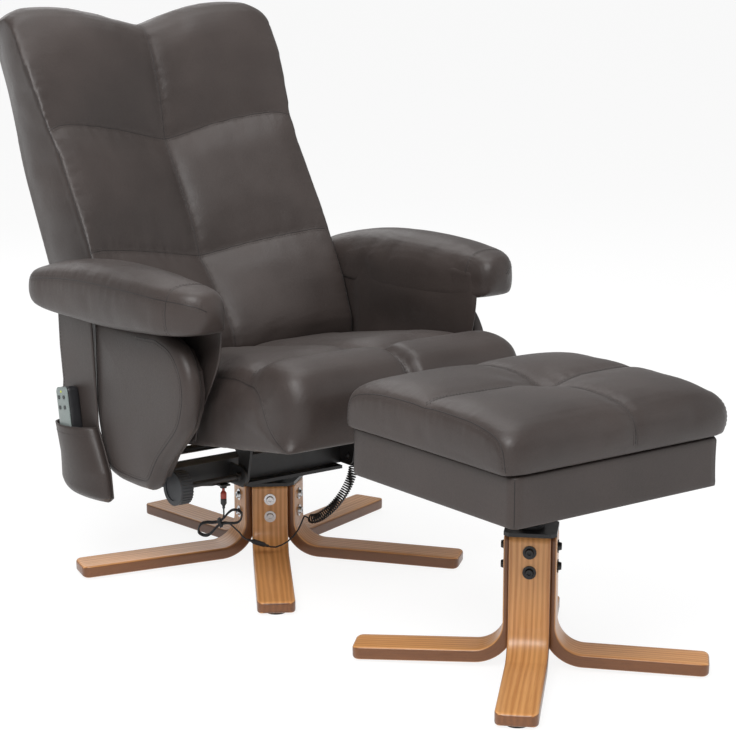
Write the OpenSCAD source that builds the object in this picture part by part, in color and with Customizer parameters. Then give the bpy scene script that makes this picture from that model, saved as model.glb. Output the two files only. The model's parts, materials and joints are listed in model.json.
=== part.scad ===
// Swivel reflexology recliner with a matching storage footstool.
// Millimetres, +Z up. The sitter faces -Y and the sitter's left is +X.
// The origin is on the floor, below the middle of the set's bounding box.

/* [Set] */
// Distance between the swivel axes of the chair and the footstool
stool_gap = 732; // [725:1:820]

/* [Bent legs] */
// Width of a leg
leg_w = 65; // [56:1:70]
// Thickness of the laminated wood
leg_t = 21; // [17:1:24]
// Radius of the bend on the upper face
leg_bend_r = 46; // [40:1:46]
// Drop of the underside from the bend to the tip
leg_fall = 5; // [0:0.5:8]
// Corner radius of the tip, seen from above
leg_tip_r = 14; // [6:1:20]
// Thickness of a foot pad
pad_t = 3; // [2:0.5:5]
// Diameter of a foot pad
pad_d = 34; // [20:1:44]
// Diameter of a bolt shank
bolt_d = 8; // [6:0.5:9]
// Diameter of a bolt head
bolt_head_d = 14; // [11:0.5:16]
// Height of a bolt head
bolt_head_h = 4.5; // [3:0.5:6]
// Diameter of a washer
washer_d = 21; // [17:1:24]
// Thickness of a washer
washer_t = 1.6; // [1:0.1:2.5]
// Distance between a leg's two bolts
bolt_pitch = 32; // [26:1:36]
// Depth of the upper bolt below the top of the leg
bolt_drop = 24; // [18:1:30]

/* [Chair base] */
// Reach of a chair leg from the swivel axis
base_reach = 361; // [330:1:400]
// Height of the chair legs at the hub
hub_h = 142; // [138:1:148]
// Distance from the swivel axis to the outer face of a leg
hub_face = 57; // [54:1:60]
// Direction of the first leg as the base stands
base_turn = -122; // [-126:1:-118]
// Thickness of the cap on the hub
cap_t = 6; // [4:0.5:8]
// Diameter of the swivel post
post_d = 38; // [32:1:42]
// Wall of the bearing sleeve
sleeve_wall = 5; // [3:0.5:7]

/* [Turning frame] */
// Side of the welded swivel plate along X
plate_w = 220; // [180:1:240]
// Side of the welded swivel plate along Y
plate_l = 158; // [140:1:180]
// Thickness of the swivel plate
plate_t = 6; // [4:0.5:8]
// Height of the swivel plate's underside
plate_z = 161; // [158:1:164]
// Height of the pressed cross beam
beam_h = 44; // [36:1:46]
// Depth of the cross beam
beam_l = 40; // [32:1:44]
// Sheet thickness of the cross beam
beam_t = 4; // [3:0.5:6]
// Diameter of the rear tie bar
tie_d = 14; // [10:1:16]
// Half of the width between the outer faces of the side frames
side_x = 292; // [288:1:296]
// Thickness of a plywood side frame
side_t = 16; // [12:1:18]
// Thickness of a padded side panel at its crown
panel_t = 33; // [28:1:36]
// Thickness of an inner arm skirt
skirt_t = 8; // [5:0.5:8]

/* [Arms] */
// Half of the width over the arm pads
arm_x = 378; // [374:1:384]
// Width of an arm pad in its middle
arm_w = 120; // [108:1:122]
// Height of the arm pad's crown above the floor
arm_top = 575; // [560:1:590]
// Height of the arm pad's underside above the floor
arm_low = 471; // [468:1:478]
// Front end of the arm pad, measured from the swivel axis
arm_front = 296; // [286:1:320]
// Rear end of the arm pad, measured from the swivel axis
arm_rear = 240; // [225:1:255]

/* [Recline lock] */
// Diameter of the lock knob
knob_d = 60; // [52:1:64]
// Thickness of the knob's rim
knob_t = 25; // [18:1:28]
// Number of flutes on the rim
knob_flutes = 32; // [20:2:40]
// Diameter of the lock shaft
shaft_d = 10; // [8:0.5:12]

/* [Seat] */
// Backward pitch of the seat
seat_pitch = 8.7; // [7:0.1:10]
// Half width of the seat cushion at its side seams
seat_x = 240; // [232:1:246]
// Length of the cushion behind the tilt axis
seat_rear = 145; // [138:1:147]
// Reach of the front roll ahead of the tilt axis
seat_front = 376; // [360:1:380]
// Height of the cushion's crown above the tilt axis
seat_crown = 222; // [210:1:226]
// Height of the side seams above the tilt axis
seat_seam = 189; // [180:1:194]
// Height of the seat board's underside above the tilt axis
board_z = 75; // [72:1:80]
// Thickness of the seat board
board_t = 15; // [12:1:18]
// Depth of the seat's centre tuft
seat_tuft = 16; // [8:1:22]

/* [Back] */
// Lean of the back from upright at rest
back_lean = 28; // [25:0.5:30]
// Half width of the back
back_x = 264; // [256:1:266]
// Length of the back along its centre seam
back_len = 658; // [620:1:680]
// Rise of the ears above the centre seam's top
ear_rise = 50; // [30:1:60]
// Depth from the rear cover to the cushion's datum face
back_depth = 130; // [115:1:140]
// Crown of one cushion channel
back_crown = 27; // [15:1:30]
// Flare of the ears past the back's half width
back_flare = 20; // [10:1:24]
// Thickness of the back board
back_board_t = 18; // [15:1:21]
// Thickness of the rear cover
cover_t = 3; // [2:0.5:4]

/* [Handset] */
// Length of the handset
hand_l = 170; // [150:1:176]
// Width of the handset
hand_w = 40; // [38:1:46]
// Thickness of the handset
hand_t = 26; // [22:1:28]
// Lean of the handset and its pocket
hand_tilt = 10; // [6:1:12]

/* [Footstool] */
// Reach of a footstool leg from its swivel axis
stool_reach = 279; // [260:1:300]
// Height of the footstool legs at the hub
stool_hub_h = 218; // [200:1:230]
// Distance from the footstool's axis to the outer face of a leg
stool_face = 41; // [39:1:44]
// Diameter of the footstool's swivel post
stool_post_d = 25; // [20:1:26]
// Width of the storage box along X
box_w = 410; // [390:1:416]
// Length of the storage box along Y
box_l = 390; // [370:1:396]
// Height of the box's underside above the floor
box_z = 299; // [290:1:305]
// Height of the box
box_h = 77; // [65:1:90]
// Thickness of the box's walls
box_wall = 12; // [9:1:16]
// Height of the lid cushion's crown above the box
lid_crown = 83; // [78:1:92]
// Height of the lid cushion's side seam above the box
lid_seam = 66; // [55:1:72]
// Overhang of the lid cushion past the box
lid_over = 10; // [5:0.5:12]
// Depth of the lid's centre tuft
lid_tuft = 14; // [8:1:24]
// Thickness of the lid board
lid_board_t = 9; // [8:0.5:12]

/* [Hidden] */

leather = "#4b4341";
wood = "#c98e54";
black = "#1d1d1f";
steel = "#b9bcc0";
ply = "#c9b48c";
handset_grey = "#8d9a97";
lead_red = "#8c2a20";

$fn = 48;
// Sides of the bends, of the knob's flutes, of a bolt's socket and of a lead
bend_sides = 96;
flute_sides = 16;
socket_sides = 6;
lead_sides = 6;
// Overrun of cuts past the faces they open
cut = 1;
// Running clearance of a shaft in its bore, on the radius
run_gap = 0.05;
// Gap between soft pieces and their neighbours
soft_gap = 0.3;
// Clearance of a bolt in its hole, on the radius
bolt_gap = 0.2;
// Clearance of pieces that are screwed together
seat_gap = 0.02;

// Legs and hubs
base_legs = 5;
stool_leg_count = 4;
joint_gap = 0.4;
hub_core_h = 80;
flange_h = 3;
flange_over = 4;
collar_gap = 0.3;
collar_h = 5;
collar_over = 8;
core_wall = 1;
head_top_share = 0.8;
sleeve_r = post_d / 2 + run_gap + sleeve_wall;
sleeve_top = hub_h + cap_t + flange_h;
stool_core_h = 130;
base_thread = hub_face - leg_t - sleeve_r - core_wall;
stool_thread = stool_face - leg_t - stool_post_d / 2 - run_gap - core_wall;
stool_plate_w = 220;
stool_plate_t = 5;

// Beam, lugs and lock shaft, in the chair's own frame
beam_inset = 19;
beam_front = -plate_l / 2 + beam_inset;
beam_z = plate_z + plate_t;
tilt_y = -93;
tilt_z = 186;
lug_x = 118;
lug_t = 5;
lug_r = 18;
end_plate_h = 118;
cord_tab_x = 142;
cord_tab_w = 18;
cord_tab_l = 17;
cord_tab_t = 3;
end_bolt_z = 250;
end_bolt_pitch = 26;
tie_y = 5;
tie_z = 222;
knob_x = 262;
// Collar of the knob's shaft, which ends inside the right lug
shaft_collar_d = 16;
shaft_collar_h = 8;
// Rise of the beam's underside from this place out to its ends
rise_start = 160;
end_rise = 17;
// Welded bushes on the lugs that the tilt plates turn on
bush_d = 17;
knob_flute_d = 3;
knob_dish = 1.5;
knob_dish_share = 0.72;
knob_boss_share = 0.6;
knob_boss_end_share = 0.4;
knob_rim_share = 0.15;
knob_boss_t_share = 0.25;

// Seat, in a frame at the tilt axis pitched with the seat
tilt_plate_t = 5;
tilt_plate_gap = 0.5;
tilt_plate_l = 90;
tilt_eye_r = 15;
tilt_neck_y = 7;
tilt_neck_z = 36;
bush_out = 1.5;
bush_l = tilt_plate_gap + tilt_plate_t + bush_out;
eye_side_share = 0.94;
eye_low_share = 0.34;
tilt_flange_w = 28;
tilt_flange_t = 4;
seat_board_x = 226;
seat_board_front = 345;
seat_board_rear = 195;
seat_motor_d = 60;
seat_motor_x = 110;
seat_motor_y = 20;
seat_lip = 1;
hinge_y = 241;
hinge_z = 151;
hinge_x = 219;
hinge_t = 5;
hinge_r = 18;
pin_d = 10;
bracket_foot_l = 42;
bracket_foot_w = 36;
hinge_play = 0.5;
bracket_low_share = [0.9, -0.4];
bracket_high_share = [-0.5, 0.85];

// Back, in a frame whose Z runs up the back and whose Y points to its rear
pivot_back = 85;
pivot_drop = 40;
back_board_x = 236;
back_board_low = 60;
back_board_top = 600;
back_motor_d = 60;
back_motor_x = 110;
back_motor_low = 170;
back_motor_pitch = 230;
cover_margin = 20;
cover_drop_share = 0.8;
arm_flange_w = 40;
arm_flange_h = 50;
back_y0 = tilt_y + hinge_y * cos(seat_pitch) + hinge_z * sin(seat_pitch)
  - pivot_back * cos(back_lean) + pivot_drop * sin(back_lean);

// Placement of the set: the middle of its length lies above the origin
stool_turn = 45;
// Place across the back whose top reaches furthest behind the chair, as a share of the ears' rise
ear_far_share = 8 / 9;
back_reach = back_y0 + back_depth * cos(back_lean) + (back_len + ear_rise * ear_far_share) * sin(back_lean);
stool_corner = (stool_reach + leg_w / 2 - 2 * leg_tip_r) * cos(stool_turn) + leg_tip_r;
chair_y = (stool_gap + max(stool_corner, box_l / 2 + lid_over) - back_reach) / 2;
stool_y = chair_y - stool_gap;

// Handset and pocket, in the chair's own frame
flap_x = 327;
flap_t = 3;
pouch_gap = 1;
pouch_t = 2.5;
hand_y = 94;
hand_z = 172;
hand_r = 8;
hand_front_t = 9;
button_d = 7;
button_h = 4;
button_out = 1.2;
button_gap = 0.1;
button_well = 5.5;

// Lid hinge, in the footstool's own frame
leaf_t = 0.9;
leaf_h = 22;
knuckle_r = 3;
leaf_l = 300;
lid_gap = 1.2;
lid_margin = 7;

// Cord sizes and routes, in the chair's own frame
lead_d = 2.8;
curl_d = 18;
curls = 32;
grommet_d = 12;
grommet_h = 4;
connector_d = 11;
barrel_d = 9;
tail_d = 5;
connector_top = [-142, -68, 163];
connector_low = [-142, -68, 125];
upper_route = [[-142, -68, 125], [-142, -68, 120], [-143, -69.7, 115.5], [-144.8, -71.5, 111.4],
  [-146.8, -71.8, 107.5], [-148.7, -69.7, 103.8]];
hank_centre = [-146, -62, 98];
hank_half_l = 42;
hank_half_h = 14;
hank_waist_h = 3;
hank_turns = 3.5;
hank_step = 4;
hank_tilt = 24;
hank_turn = -36;
tie_inner = [5, 18.4, 11.2];
tie_wall = 1.2;
middle_route = [[-136.8, -59.6, 96.7], [-132.1, -61.9, 96.2], [-127.8, -64.7, 93.2], [-124.2, -68.6, 89],
  [-120.1, -74.7, 83.3], [-117.6, -81.7, 78.5], [-117.2, -89.5, 73.8], [-113, -94, 69.3], [-108, -95, 67]];
barrel_start = [-108, -95, 67];
barrel_end = [-66, -95, 48];
lower_route = [[-66, -95, 48], [-61, -95, 45.8], [-50, -95, 43], [-35, -93, 44], [-20, -91, 48],
  [-5, -88, 55],
  [8, -84, 64], [17, -80, 73], [24, -76, 80], [29, -72.5, 82], [33.9, -70.4, 79.8]];
curl_route = [[38, 77], [68, 57], [142, 112], [142, 163]];
curl_y = -70;

// Shapes that repeat

function unit(v) = v / norm(v);
function along(p, i) = unit(p[min(i + 1, len(p) - 1)] - p[max(i - 1, 0)]);
function square_to(n, t) = unit(n - (n * t) * t);
function far_from(t) = abs(t[1]) < 0.8 ? [0, 1, 0] : [1, 0, 0];

// Points of a tube of one diameter along a route, carried without twist
function tube_points(p, d, sides) = concat(
  [for (i = 0, n = square_to(far_from(along(p, 0)), along(p, 0)); i < len(p);
      i = i + 1, n = i < len(p) ? square_to(n, along(p, i)) : n)
    each [for (j = [0 : sides - 1]) let (a = j * 360 / sides, b = cross(along(p, i), n))
      p[i] + (n * cos(a) + b * sin(a)) * d / 2]],
  [p[0], p[len(p) - 1]]);

// Faces of stacked rings of points, closed by a fan at each end
function ring_faces(rings, sides) = let (last = (rings - 1) * sides, mid = rings * sides) concat(
  [for (i = [0 : rings - 2], j = [0 : sides - 1]) let (a = i * sides + j, b = i * sides + (j + 1) % sides)
    [a, b, b + sides]],
  [for (i = [0 : rings - 2], j = [0 : sides - 1]) let (a = i * sides + j, b = i * sides + (j + 1) % sides)
    [a, b + sides, a + sides]],
  [for (j = [0 : sides - 1]) [mid, (j + 1) % sides, j]],
  [for (j = [0 : sides - 1]) [mid + 1, last + j, last + (j + 1) % sides]]);

module tube(p, d, sides = 8) {
  polyhedron(tube_points(p, d, sides), ring_faces(len(p), sides), convexity = 6);
}

// A closed form through rings of points, with a fan to the middle of each end ring
function middle(r) = [for (k = [0 : 2]) ([for (q = r) 1] * [for (q = r) q[k]]) / len(r)];

module loft(rings) {
  sides = len(rings[0]);
  points = concat([for (r = rings) each r], [middle(rings[0]), middle(rings[len(rings) - 1])]);
  polyhedron(points, ring_faces(len(rings), sides), convexity = 6);
}

module rounded(w, h, r) {
  square([w - 2 * r, h], center = true);
  square([w, h - 2 * r], center = true);
  for (x = [-1, 1], y = [-1, 1]) translate([x * (w / 2 - r), y * (h / 2 - r)]) circle(r);
}

module chair() {
  translate([0, chair_y, 0]) children();
}

module stool() {
  translate([0, stool_y, 0]) children();
}

module both_sides() {
  for (s = [0, 1]) mirror([s, 0, 0]) children();
}

// Extrudes an outline drawn in Y and Z along X, from x to x + t
module side_plate(x, t) {
  translate([x, 0, 0]) rotate([90, 0, 90]) linear_extrude(t) children();
}

// Hubs and bent legs

bend_z = pad_t + leg_fall + leg_t + leg_bend_r;

// Upright part, true quarter bend and sloping foot of a leg, drawn with the reach along X
module leg_profile(face, top, reach) {
  outer_r = leg_bend_r + leg_t;
  bend_x = face + leg_bend_r;
  translate([face - leg_t, bend_z]) square([leg_t, top - bend_z]);
  intersection() {
    translate([bend_x, bend_z]) difference() {
      circle(outer_r, $fn = bend_sides);
      circle(leg_bend_r, $fn = bend_sides);
    }
    translate([bend_x - outer_r, bend_z - outer_r]) square(outer_r);
  }
  polygon([[bend_x, pad_t + leg_fall], [reach, pad_t], [reach, pad_t + leg_t],
    [bend_x, bend_z - leg_bend_r]]);
}

module leg_plan(reach, half_angle) {
  start = joint_gap / 2 / sin(half_angle);
  intersection() {
    polygon([[start, 0], [start + reach, reach * tan(half_angle)],
      [start + reach, -reach * tan(half_angle)]]);
    union() {
      translate([0, -leg_w / 2]) square([reach - leg_tip_r, leg_w]);
      translate([0, leg_tip_r - leg_w / 2]) square([reach, leg_w - 2 * leg_tip_r]);
      for (s = [-1, 1]) translate([reach - leg_tip_r, s * (leg_w / 2 - leg_tip_r)]) circle(leg_tip_r);
    }
  }
}

module bolt_places(face, top) {
  for (k = [0, 1]) translate([face, 0, top - bolt_drop - k * bolt_pitch]) rotate([0, 90, 0]) children();
}

module bent_leg(face, top, reach, count) {
  difference() {
    intersection() {
      translate([0, leg_w / 2, 0]) rotate([90, 0, 0]) linear_extrude(leg_w) leg_profile(face, top, reach);
      linear_extrude(top) leg_plan(reach, 180 / count);
    }
    bolt_places(face, top) translate([0, 0, -leg_t - cut])
      cylinder(d = bolt_d + 2 * bolt_gap, h = leg_t + 2 * cut);
  }
}

module hub_prism(face, top, h, count, thread) {
  apothem = face - leg_t;
  difference() {
    translate([0, 0, top - h]) rotate(180 / count)
      cylinder(r = apothem / cos(180 / count), h = h, $fn = count);
    for (i = [0 : count - 1]) rotate(i * 360 / count) bolt_places(apothem, top)
      translate([0, 0, -thread]) cylinder(d = bolt_d + 2 * seat_gap, h = thread + cut);
  }
}

module hub_plate(face, count) {
  polygon([for (i = [0 : count - 1], s = [-1, 1]) let (a = i * 360 / count)
    [face * cos(a) - s * leg_w / 2 * sin(a), face * sin(a) + s * leg_w / 2 * cos(a)]]);
}

// Bolts with domed heads and a hexagon socket
module hub_fasteners(face, top, count, thread) {
  shank = leg_t + thread;
  for (i = [0 : count - 1]) rotate(i * 360 / count) bolt_places(face + seat_gap, top) {
    difference() {
      union() {
        cylinder(d = washer_d, h = washer_t);
        translate([0, 0, washer_t])
          cylinder(d1 = bolt_head_d, d2 = bolt_head_d * head_top_share, h = bolt_head_h);
        translate([0, 0, -shank]) cylinder(d = bolt_d, h = shank + washer_t);
      }
      translate([0, 0, washer_t + bolt_head_h / 2])
        cylinder(d = bolt_head_d / 2, h = bolt_head_h, $fn = socket_sides);
    }
  }
}

// Pads cut on top to the slope of the leg's underside
module foot_pads(face, reach, count) {
  bend_x = face + leg_bend_r;
  for (i = [0 : count - 1]) rotate(i * 360 / count) intersection() {
    translate([reach - pad_d / 2 - leg_tip_r / 2, 0, 0]) cylinder(d = pad_d, h = pad_t + leg_fall);
    translate([0, pad_d, 0]) rotate([90, 0, 0]) linear_extrude(2 * pad_d)
      polygon([[bend_x, 0], [reach, 0], [reach, pad_t], [bend_x, pad_t + leg_fall]]);
  }
}

module base_leg(i) {
  color(wood) chair() rotate(base_turn + i * 360 / base_legs)
    bent_leg(hub_face, hub_h, base_reach, base_legs);
}

module hub_core() {
  color(black) chair() difference() {
    rotate(base_turn) hub_prism(hub_face, hub_h, hub_core_h, base_legs, base_thread);
    translate([0, 0, hub_h - hub_core_h - cut]) cylinder(r = sleeve_r, h = hub_core_h + 2 * cut);
  }
}

module hub_cap() {
  color(black) chair() difference() {
    translate([0, 0, hub_h]) rotate(base_turn) linear_extrude(cap_t) hub_plate(hub_face, base_legs);
    translate([0, 0, hub_h - cut]) cylinder(r = sleeve_r, h = cap_t + 2 * cut);
  }
}

module hub_bolts() {
  color(steel) chair() rotate(base_turn) hub_fasteners(hub_face, hub_h, base_legs, base_thread);
}

module base_foot_pads() {
  color(black) chair() rotate(base_turn) foot_pads(hub_face, base_reach, base_legs);
}

module bearing_sleeve() {
  color(steel) chair() difference() {
    union() {
      translate([0, 0, hub_h - hub_core_h]) cylinder(r = sleeve_r, h = hub_core_h + cap_t);
      translate([0, 0, hub_h + cap_t]) cylinder(r = sleeve_r + flange_over, h = flange_h);
    }
    translate([0, 0, hub_h - hub_core_h - cut])
      cylinder(d = post_d + 2 * run_gap, h = hub_core_h + cap_t + flange_h + 2 * cut);
  }
}

// Turning frame

module swivel_post() {
  color(black) chair() {
    translate([0, 0, hub_h - hub_core_h + cut]) cylinder(d = post_d, h = plate_z - hub_h + hub_core_h - cut);
    translate([0, 0, sleeve_top + collar_gap]) cylinder(d = post_d + 2 * collar_over, h = collar_h);
    translate([-plate_w / 2, -plate_l / 2, plate_z]) cube([plate_w, plate_l, plate_t]);
  }
}

module beam_section() {
  difference() {
    translate([beam_front, beam_z]) square([beam_l, beam_h]);
    translate([beam_front + beam_t, beam_z + beam_t]) square([beam_l, beam_h - 2 * beam_t]);
  }
}

module lug_outline() {
  difference() {
    union() {
      translate([tilt_y, tilt_z]) circle(lug_r);
      translate([tilt_y, tilt_z - lug_r]) square([beam_front - tilt_y, 2 * lug_r]);
    }
    translate([tilt_y, tilt_z]) circle(d = shaft_d + 4 * run_gap);
  }
}

// Wedge that lifts the beam's underside towards its end
module end_wedge(end_x) {
  translate([0, beam_front + beam_l + cut, 0]) rotate([90, 0, 0]) linear_extrude(beam_l + 2 * cut)
    polygon([[rise_start, beam_z], [rise_start, beam_z - cut], [end_x, beam_z - cut],
      [end_x, beam_z + end_rise]]);
}

module cross_beam() {
  end_x = side_x - side_t;
  color(black) chair() {
    difference() {
      side_plate(-end_x + beam_t, 2 * (end_x - beam_t)) beam_section();
      both_sides() end_wedge(end_x);
    }
    both_sides() {
      side_plate(lug_x, lug_t) lug_outline();
      side_plate(lug_x - bush_l, bush_l + lug_t / 2) translate([tilt_y, tilt_z]) difference() {
        circle(d = bush_d);
        circle(d = shaft_d + 4 * run_gap);
      }
      translate([cord_tab_x - cord_tab_w / 2, beam_front - cord_tab_l, beam_z])
        cube([cord_tab_w, cord_tab_l + beam_t, cord_tab_t]);
      side_plate(end_x - beam_t, beam_t) difference() {
        translate([beam_front, beam_z + end_rise]) square([beam_l, end_plate_h - end_rise]);
        for (k = [0, 1]) translate([beam_front + beam_l / 2, end_bolt_z + k * end_bolt_pitch])
          circle(d = bolt_d + 2 * bolt_gap);
      }
    }
  }
}

module rear_tie_bar() {
  end_x = side_x - side_t;
  color(black) chair() translate([-end_x, tie_y, tie_z]) rotate([0, 90, 0])
    cylinder(d = tie_d, h = 2 * end_x);
}

// Outline of a side panel in Y and Z: a leaf with a straight rear edge and a diagonal front edge
panel_low = 191;
panel_high = arm_low - soft_gap;
panel_nose = 253;
panel_y_shares = [0.2925, 0.2925, 0.253, 0.174, 0.024, -0.18, -0.35, -0.455, -0.6, -0.86, -0.94, -0.965,
  -0.93, -0.81, -0.593, -0.416, -0.107];
panel_z_shares = [1, 0.47, 0.29, 0.07, 0.01, 0, 0.005, 0.03, 0.21, 0.44, 0.58, 0.7, 0.84, 0.965, 1.0233,
  1.0115, 1];
panel_outline = [for (i = [0 : len(panel_y_shares) - 1])
  [panel_nose * panel_y_shares[i], panel_low + (panel_high - panel_low) * panel_z_shares[i]]];
panel_middle_shares = [-0.35, 0.55];
panel_middle = [panel_nose * panel_middle_shares[0],
  panel_low + (panel_high - panel_low) * panel_middle_shares[1]];

function drawn_in(outline, centre, share) = [for (p = outline) centre + (p - centre) * share];

frame_share = 0.9;
// Top rail of a side frame, which carries the arm pad
rail_front = 150;
rail_rear = 66;
rail_h = 30;

module side_frame() {
  side_plate(side_x - side_t, side_t) difference() {
    union() {
      polygon(drawn_in(panel_outline, panel_middle, frame_share));
      translate([-rail_front, panel_high - rail_h]) square([rail_front + rail_rear, rail_h]);
    }
    for (k = [0, 1]) translate([beam_front + beam_l / 2, end_bolt_z + k * end_bolt_pitch])
      circle(d = bolt_d + 2 * bolt_gap);
  }
}

module side_frame_left() {
  color(ply) chair() side_frame();
}

module side_frame_right() {
  color(ply) chair() mirror([1, 0, 0]) side_frame();
}

module frame_bolts() {
  grip = side_t + beam_t;
  color(steel) chair() both_sides() for (k = [0, 1])
    translate([side_x - grip, beam_front + beam_l / 2, end_bolt_z + k * end_bolt_pitch]) rotate([0, 90, 0]) {
      cylinder(d = bolt_d, h = grip - cut);
      translate([0, 0, -bolt_head_h]) cylinder(d = bolt_head_d, h = bolt_head_h);
    }
}

// Rings of a side panel: share of its thickness and of its outline
panel_rings_shares = [[0, 0.985], [0.25, 1], [0.7, 0.965], [0.93, 0.86], [1, 0.62]];

module side_panel() {
  loft([for (s = panel_rings_shares) let (o = drawn_in(panel_outline, panel_middle, s[1]))
    [for (p = o) [side_x + s[0] * panel_t, p[0], p[1]]]]);
}

module side_panel_left() {
  color(leather) chair() side_panel();
}

module side_panel_right() {
  color(leather) chair() mirror([1, 0, 0]) side_panel();
}

// Cross-section of an arm pad: shares of its half width, outward, and of its height, upward
arm_x_shares = [-0.7, 0, 0.62, 0.88, 0.99, 1, 0.95, 0.78, 0.42, 0, -0.45, -0.8, -1, -1, -0.99];
arm_z_shares = [0, 0, 0.01, 0.07, 0.26, 0.52, 0.72, 0.9, 0.985, 1, 0.97, 0.87, 0.63, 0.3, 0.02];
// Rings of an arm pad from the rear to the nose: place, width, underside, crown and shift inward
arm_ring_shares = [[0, 0.2, 0.4, 0.45, 0], [0.012, 0.5, 0.24, 0.58, 0], [0.045, 0.74, 0.1, 0.67, 0],
  [0.1, 0.88, 0.03, 0.74, 0], [0.2, 0.9, 0, 0.84, 0], [0.33, 0.93, 0, 0.94, 0], [0.48, 0.98, 0, 1, 0],
  [0.62, 1, 0.03, 1.01, 0], [0.75, 0.97, 0.08, 1, 0.02], [0.87, 0.87, 0.13, 0.96, 0.11],
  [0.95, 0.68, 0.18, 0.9, 0.21], [0.985, 0.45, 0.25, 0.81, 0.28], [1, 0.2, 0.42, 0.64, 0.3]];

arm_side_share = 0.9;
function arm_ring(r) = let (half = arm_w / 2 * r[1],
    x = arm_x - max(half, arm_w / 2 * arm_side_share) - arm_w * r[4] / 2,
    y = arm_rear - (arm_rear + arm_front) * r[0], low = arm_low + (arm_top - arm_low) * r[2],
    high = arm_low + (arm_top - arm_low) * r[3])
  [for (k = [0 : len(arm_x_shares) - 1])
    [x + half * arm_x_shares[k], y, low + (high - low) * arm_z_shares[k]]];

module arm_pad() {
  loft([for (r = arm_ring_shares) arm_ring(r)]);
}

module arm_pad_left() {
  color(leather) chair() arm_pad();
}

module arm_pad_right() {
  color(leather) chair() mirror([1, 0, 0]) arm_pad();
}

// Outline of an inner skirt in Y and Z
skirt_front = 266;
skirt_low = 290;
skirt_y_shares = [-1, -0.97, -0.9, -0.83, -0.75, -0.7, 0.45, 0.45, -0.1, -0.396, -0.668, -0.9];
skirt_z_shares = [1.07, 0.8, 0.6, 0.44, 0.25, 0, 0, 1, 1, 1.015, 1.04, 1.06];

module arm_skirt() {
  outline = [for (i = [0 : len(skirt_y_shares) - 1])
    [skirt_front * skirt_y_shares[i], skirt_low + (panel_high - skirt_low) * skirt_z_shares[i]]];
  side_plate(side_x - side_t - skirt_t, skirt_t) polygon(outline);
}

module arm_skirt_left() {
  color(leather) chair() arm_skirt();
}

module arm_skirt_right() {
  color(leather) chair() mirror([1, 0, 0]) arm_skirt();
}

// Outlines of the hanging flap below its hem, of its pouch where it is sewn on and of the pouch's outer
// face: shares of a length along Y and of a height
pocket_across = 200;
pocket_up = 500;
hem_rear = 176;
hem_front = 56;
flap_shares = [[0.865, 0.812], [0.82, 0.686], [0.875, 0.568], [0.79, 0.438], [0.785, 0.35],
  [0.68, 0.302], [0.48, 0.292], [0.05, 0.298], [-0.03, 0.32], [0, 0.406], [0.115, 0.494], [0.205, 0.558]];
sewn_shares = [[0.86, 0.54], [0.785, 0.438], [0.78, 0.35], [0.675, 0.304], [0.48, 0.294], [0.055, 0.3],
  [-0.025, 0.322], [0.005, 0.406], [0.12, 0.494], [0.21, 0.558]];
face_shares = [[0.71, 0.536], [0.66, 0.456], [0.62, 0.37], [0.56, 0.32], [0.42, 0.302], [0.25, 0.306],
  [0.18, 0.328], [0.19, 0.406], [0.25, 0.494], [0.32, 0.558]];
function pocket_points(shares) = [for (s = shares) [s[0] * pocket_across, s[1] * pocket_up]];
flap_outline = concat([[hem_rear, panel_high]], pocket_points(flap_shares), [[hem_front, panel_high]]);
pouch_sewn = pocket_points(sewn_shares);
pouch_face = pocket_points(face_shares);
pouch_rings_shares = [[0, 0], [0.45, 0.35], [0.85, 0.8], [1, 1]];

module pocket_flap() {
  color(leather) chair() mirror([1, 0, 0]) side_plate(flap_x, flap_t) polygon(flap_outline);
}

module handset_pocket() {
  depth = hand_t + 2 * pouch_gap;
  hollow = [depth + cut, hand_w + 2 * pouch_gap, hand_l];
  color(leather) chair() mirror([1, 0, 0]) difference() {
    loft([for (r = pouch_rings_shares) [for (i = [0 : len(pouch_sewn) - 1])
      let (q = pouch_sewn[i] + (pouch_face[i] - pouch_sewn[i]) * r[1])
      [flap_x + flap_t + seat_gap + (depth + pouch_t) * r[0], q[0], q[1]]]]);
    translate([flap_x + flap_t - cut, hand_y, hand_z]) rotate([-hand_tilt, 0, 0])
      translate([0, -hollow[1] / 2, -pouch_gap]) cube(hollow);
  }
}

module cord_grommets() {
  color(black) chair() for (p = [[connector_top[0], connector_top[1]], [curl_route[3][0], curl_y]])
    translate([p[0], p[1], beam_z - grommet_h]) cylinder(d = grommet_d, h = grommet_h);
}

// Recline lock

module lock_knob() {
  color(black) chair() translate([-knob_x, tilt_y, tilt_z]) rotate([0, 90, 0]) difference() {
    union() {
      cylinder(d = knob_d, h = knob_t);
      translate([0, 0, knob_t])
        cylinder(d1 = knob_d * knob_boss_share, d2 = knob_d * knob_boss_end_share,
          h = knob_t * knob_boss_t_share);
    }
    translate([0, 0, -cut]) cylinder(d = knob_d * knob_dish_share, h = cut + knob_dish);
    for (i = [0 : knob_flutes - 1]) rotate(i * 360 / knob_flutes)
      translate([knob_d / 2, 0, knob_t * knob_rim_share])
        cylinder(d = knob_flute_d, h = knob_t + cut, $fn = flute_sides);
    translate([0, 0, knob_t / 2]) cylinder(d = shaft_d, h = knob_t + cut);
  }
}

module lock_shaft() {
  shaft_l = knob_x - knob_t / 2 - lug_x;
  color(steel) chair() translate([-knob_x + knob_t / 2, tilt_y, tilt_z]) rotate([0, 90, 0]) {
    cylinder(d = shaft_d, h = shaft_l);
    translate([0, 0, shaft_l - lug_t - run_gap - shaft_collar_h])
      cylinder(d = shaft_collar_d, h = shaft_collar_h);
  }
}

// Seat

module seat() {
  chair() translate([0, tilt_y, tilt_z]) rotate([-seat_pitch, 0, 0]) children();
}

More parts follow.
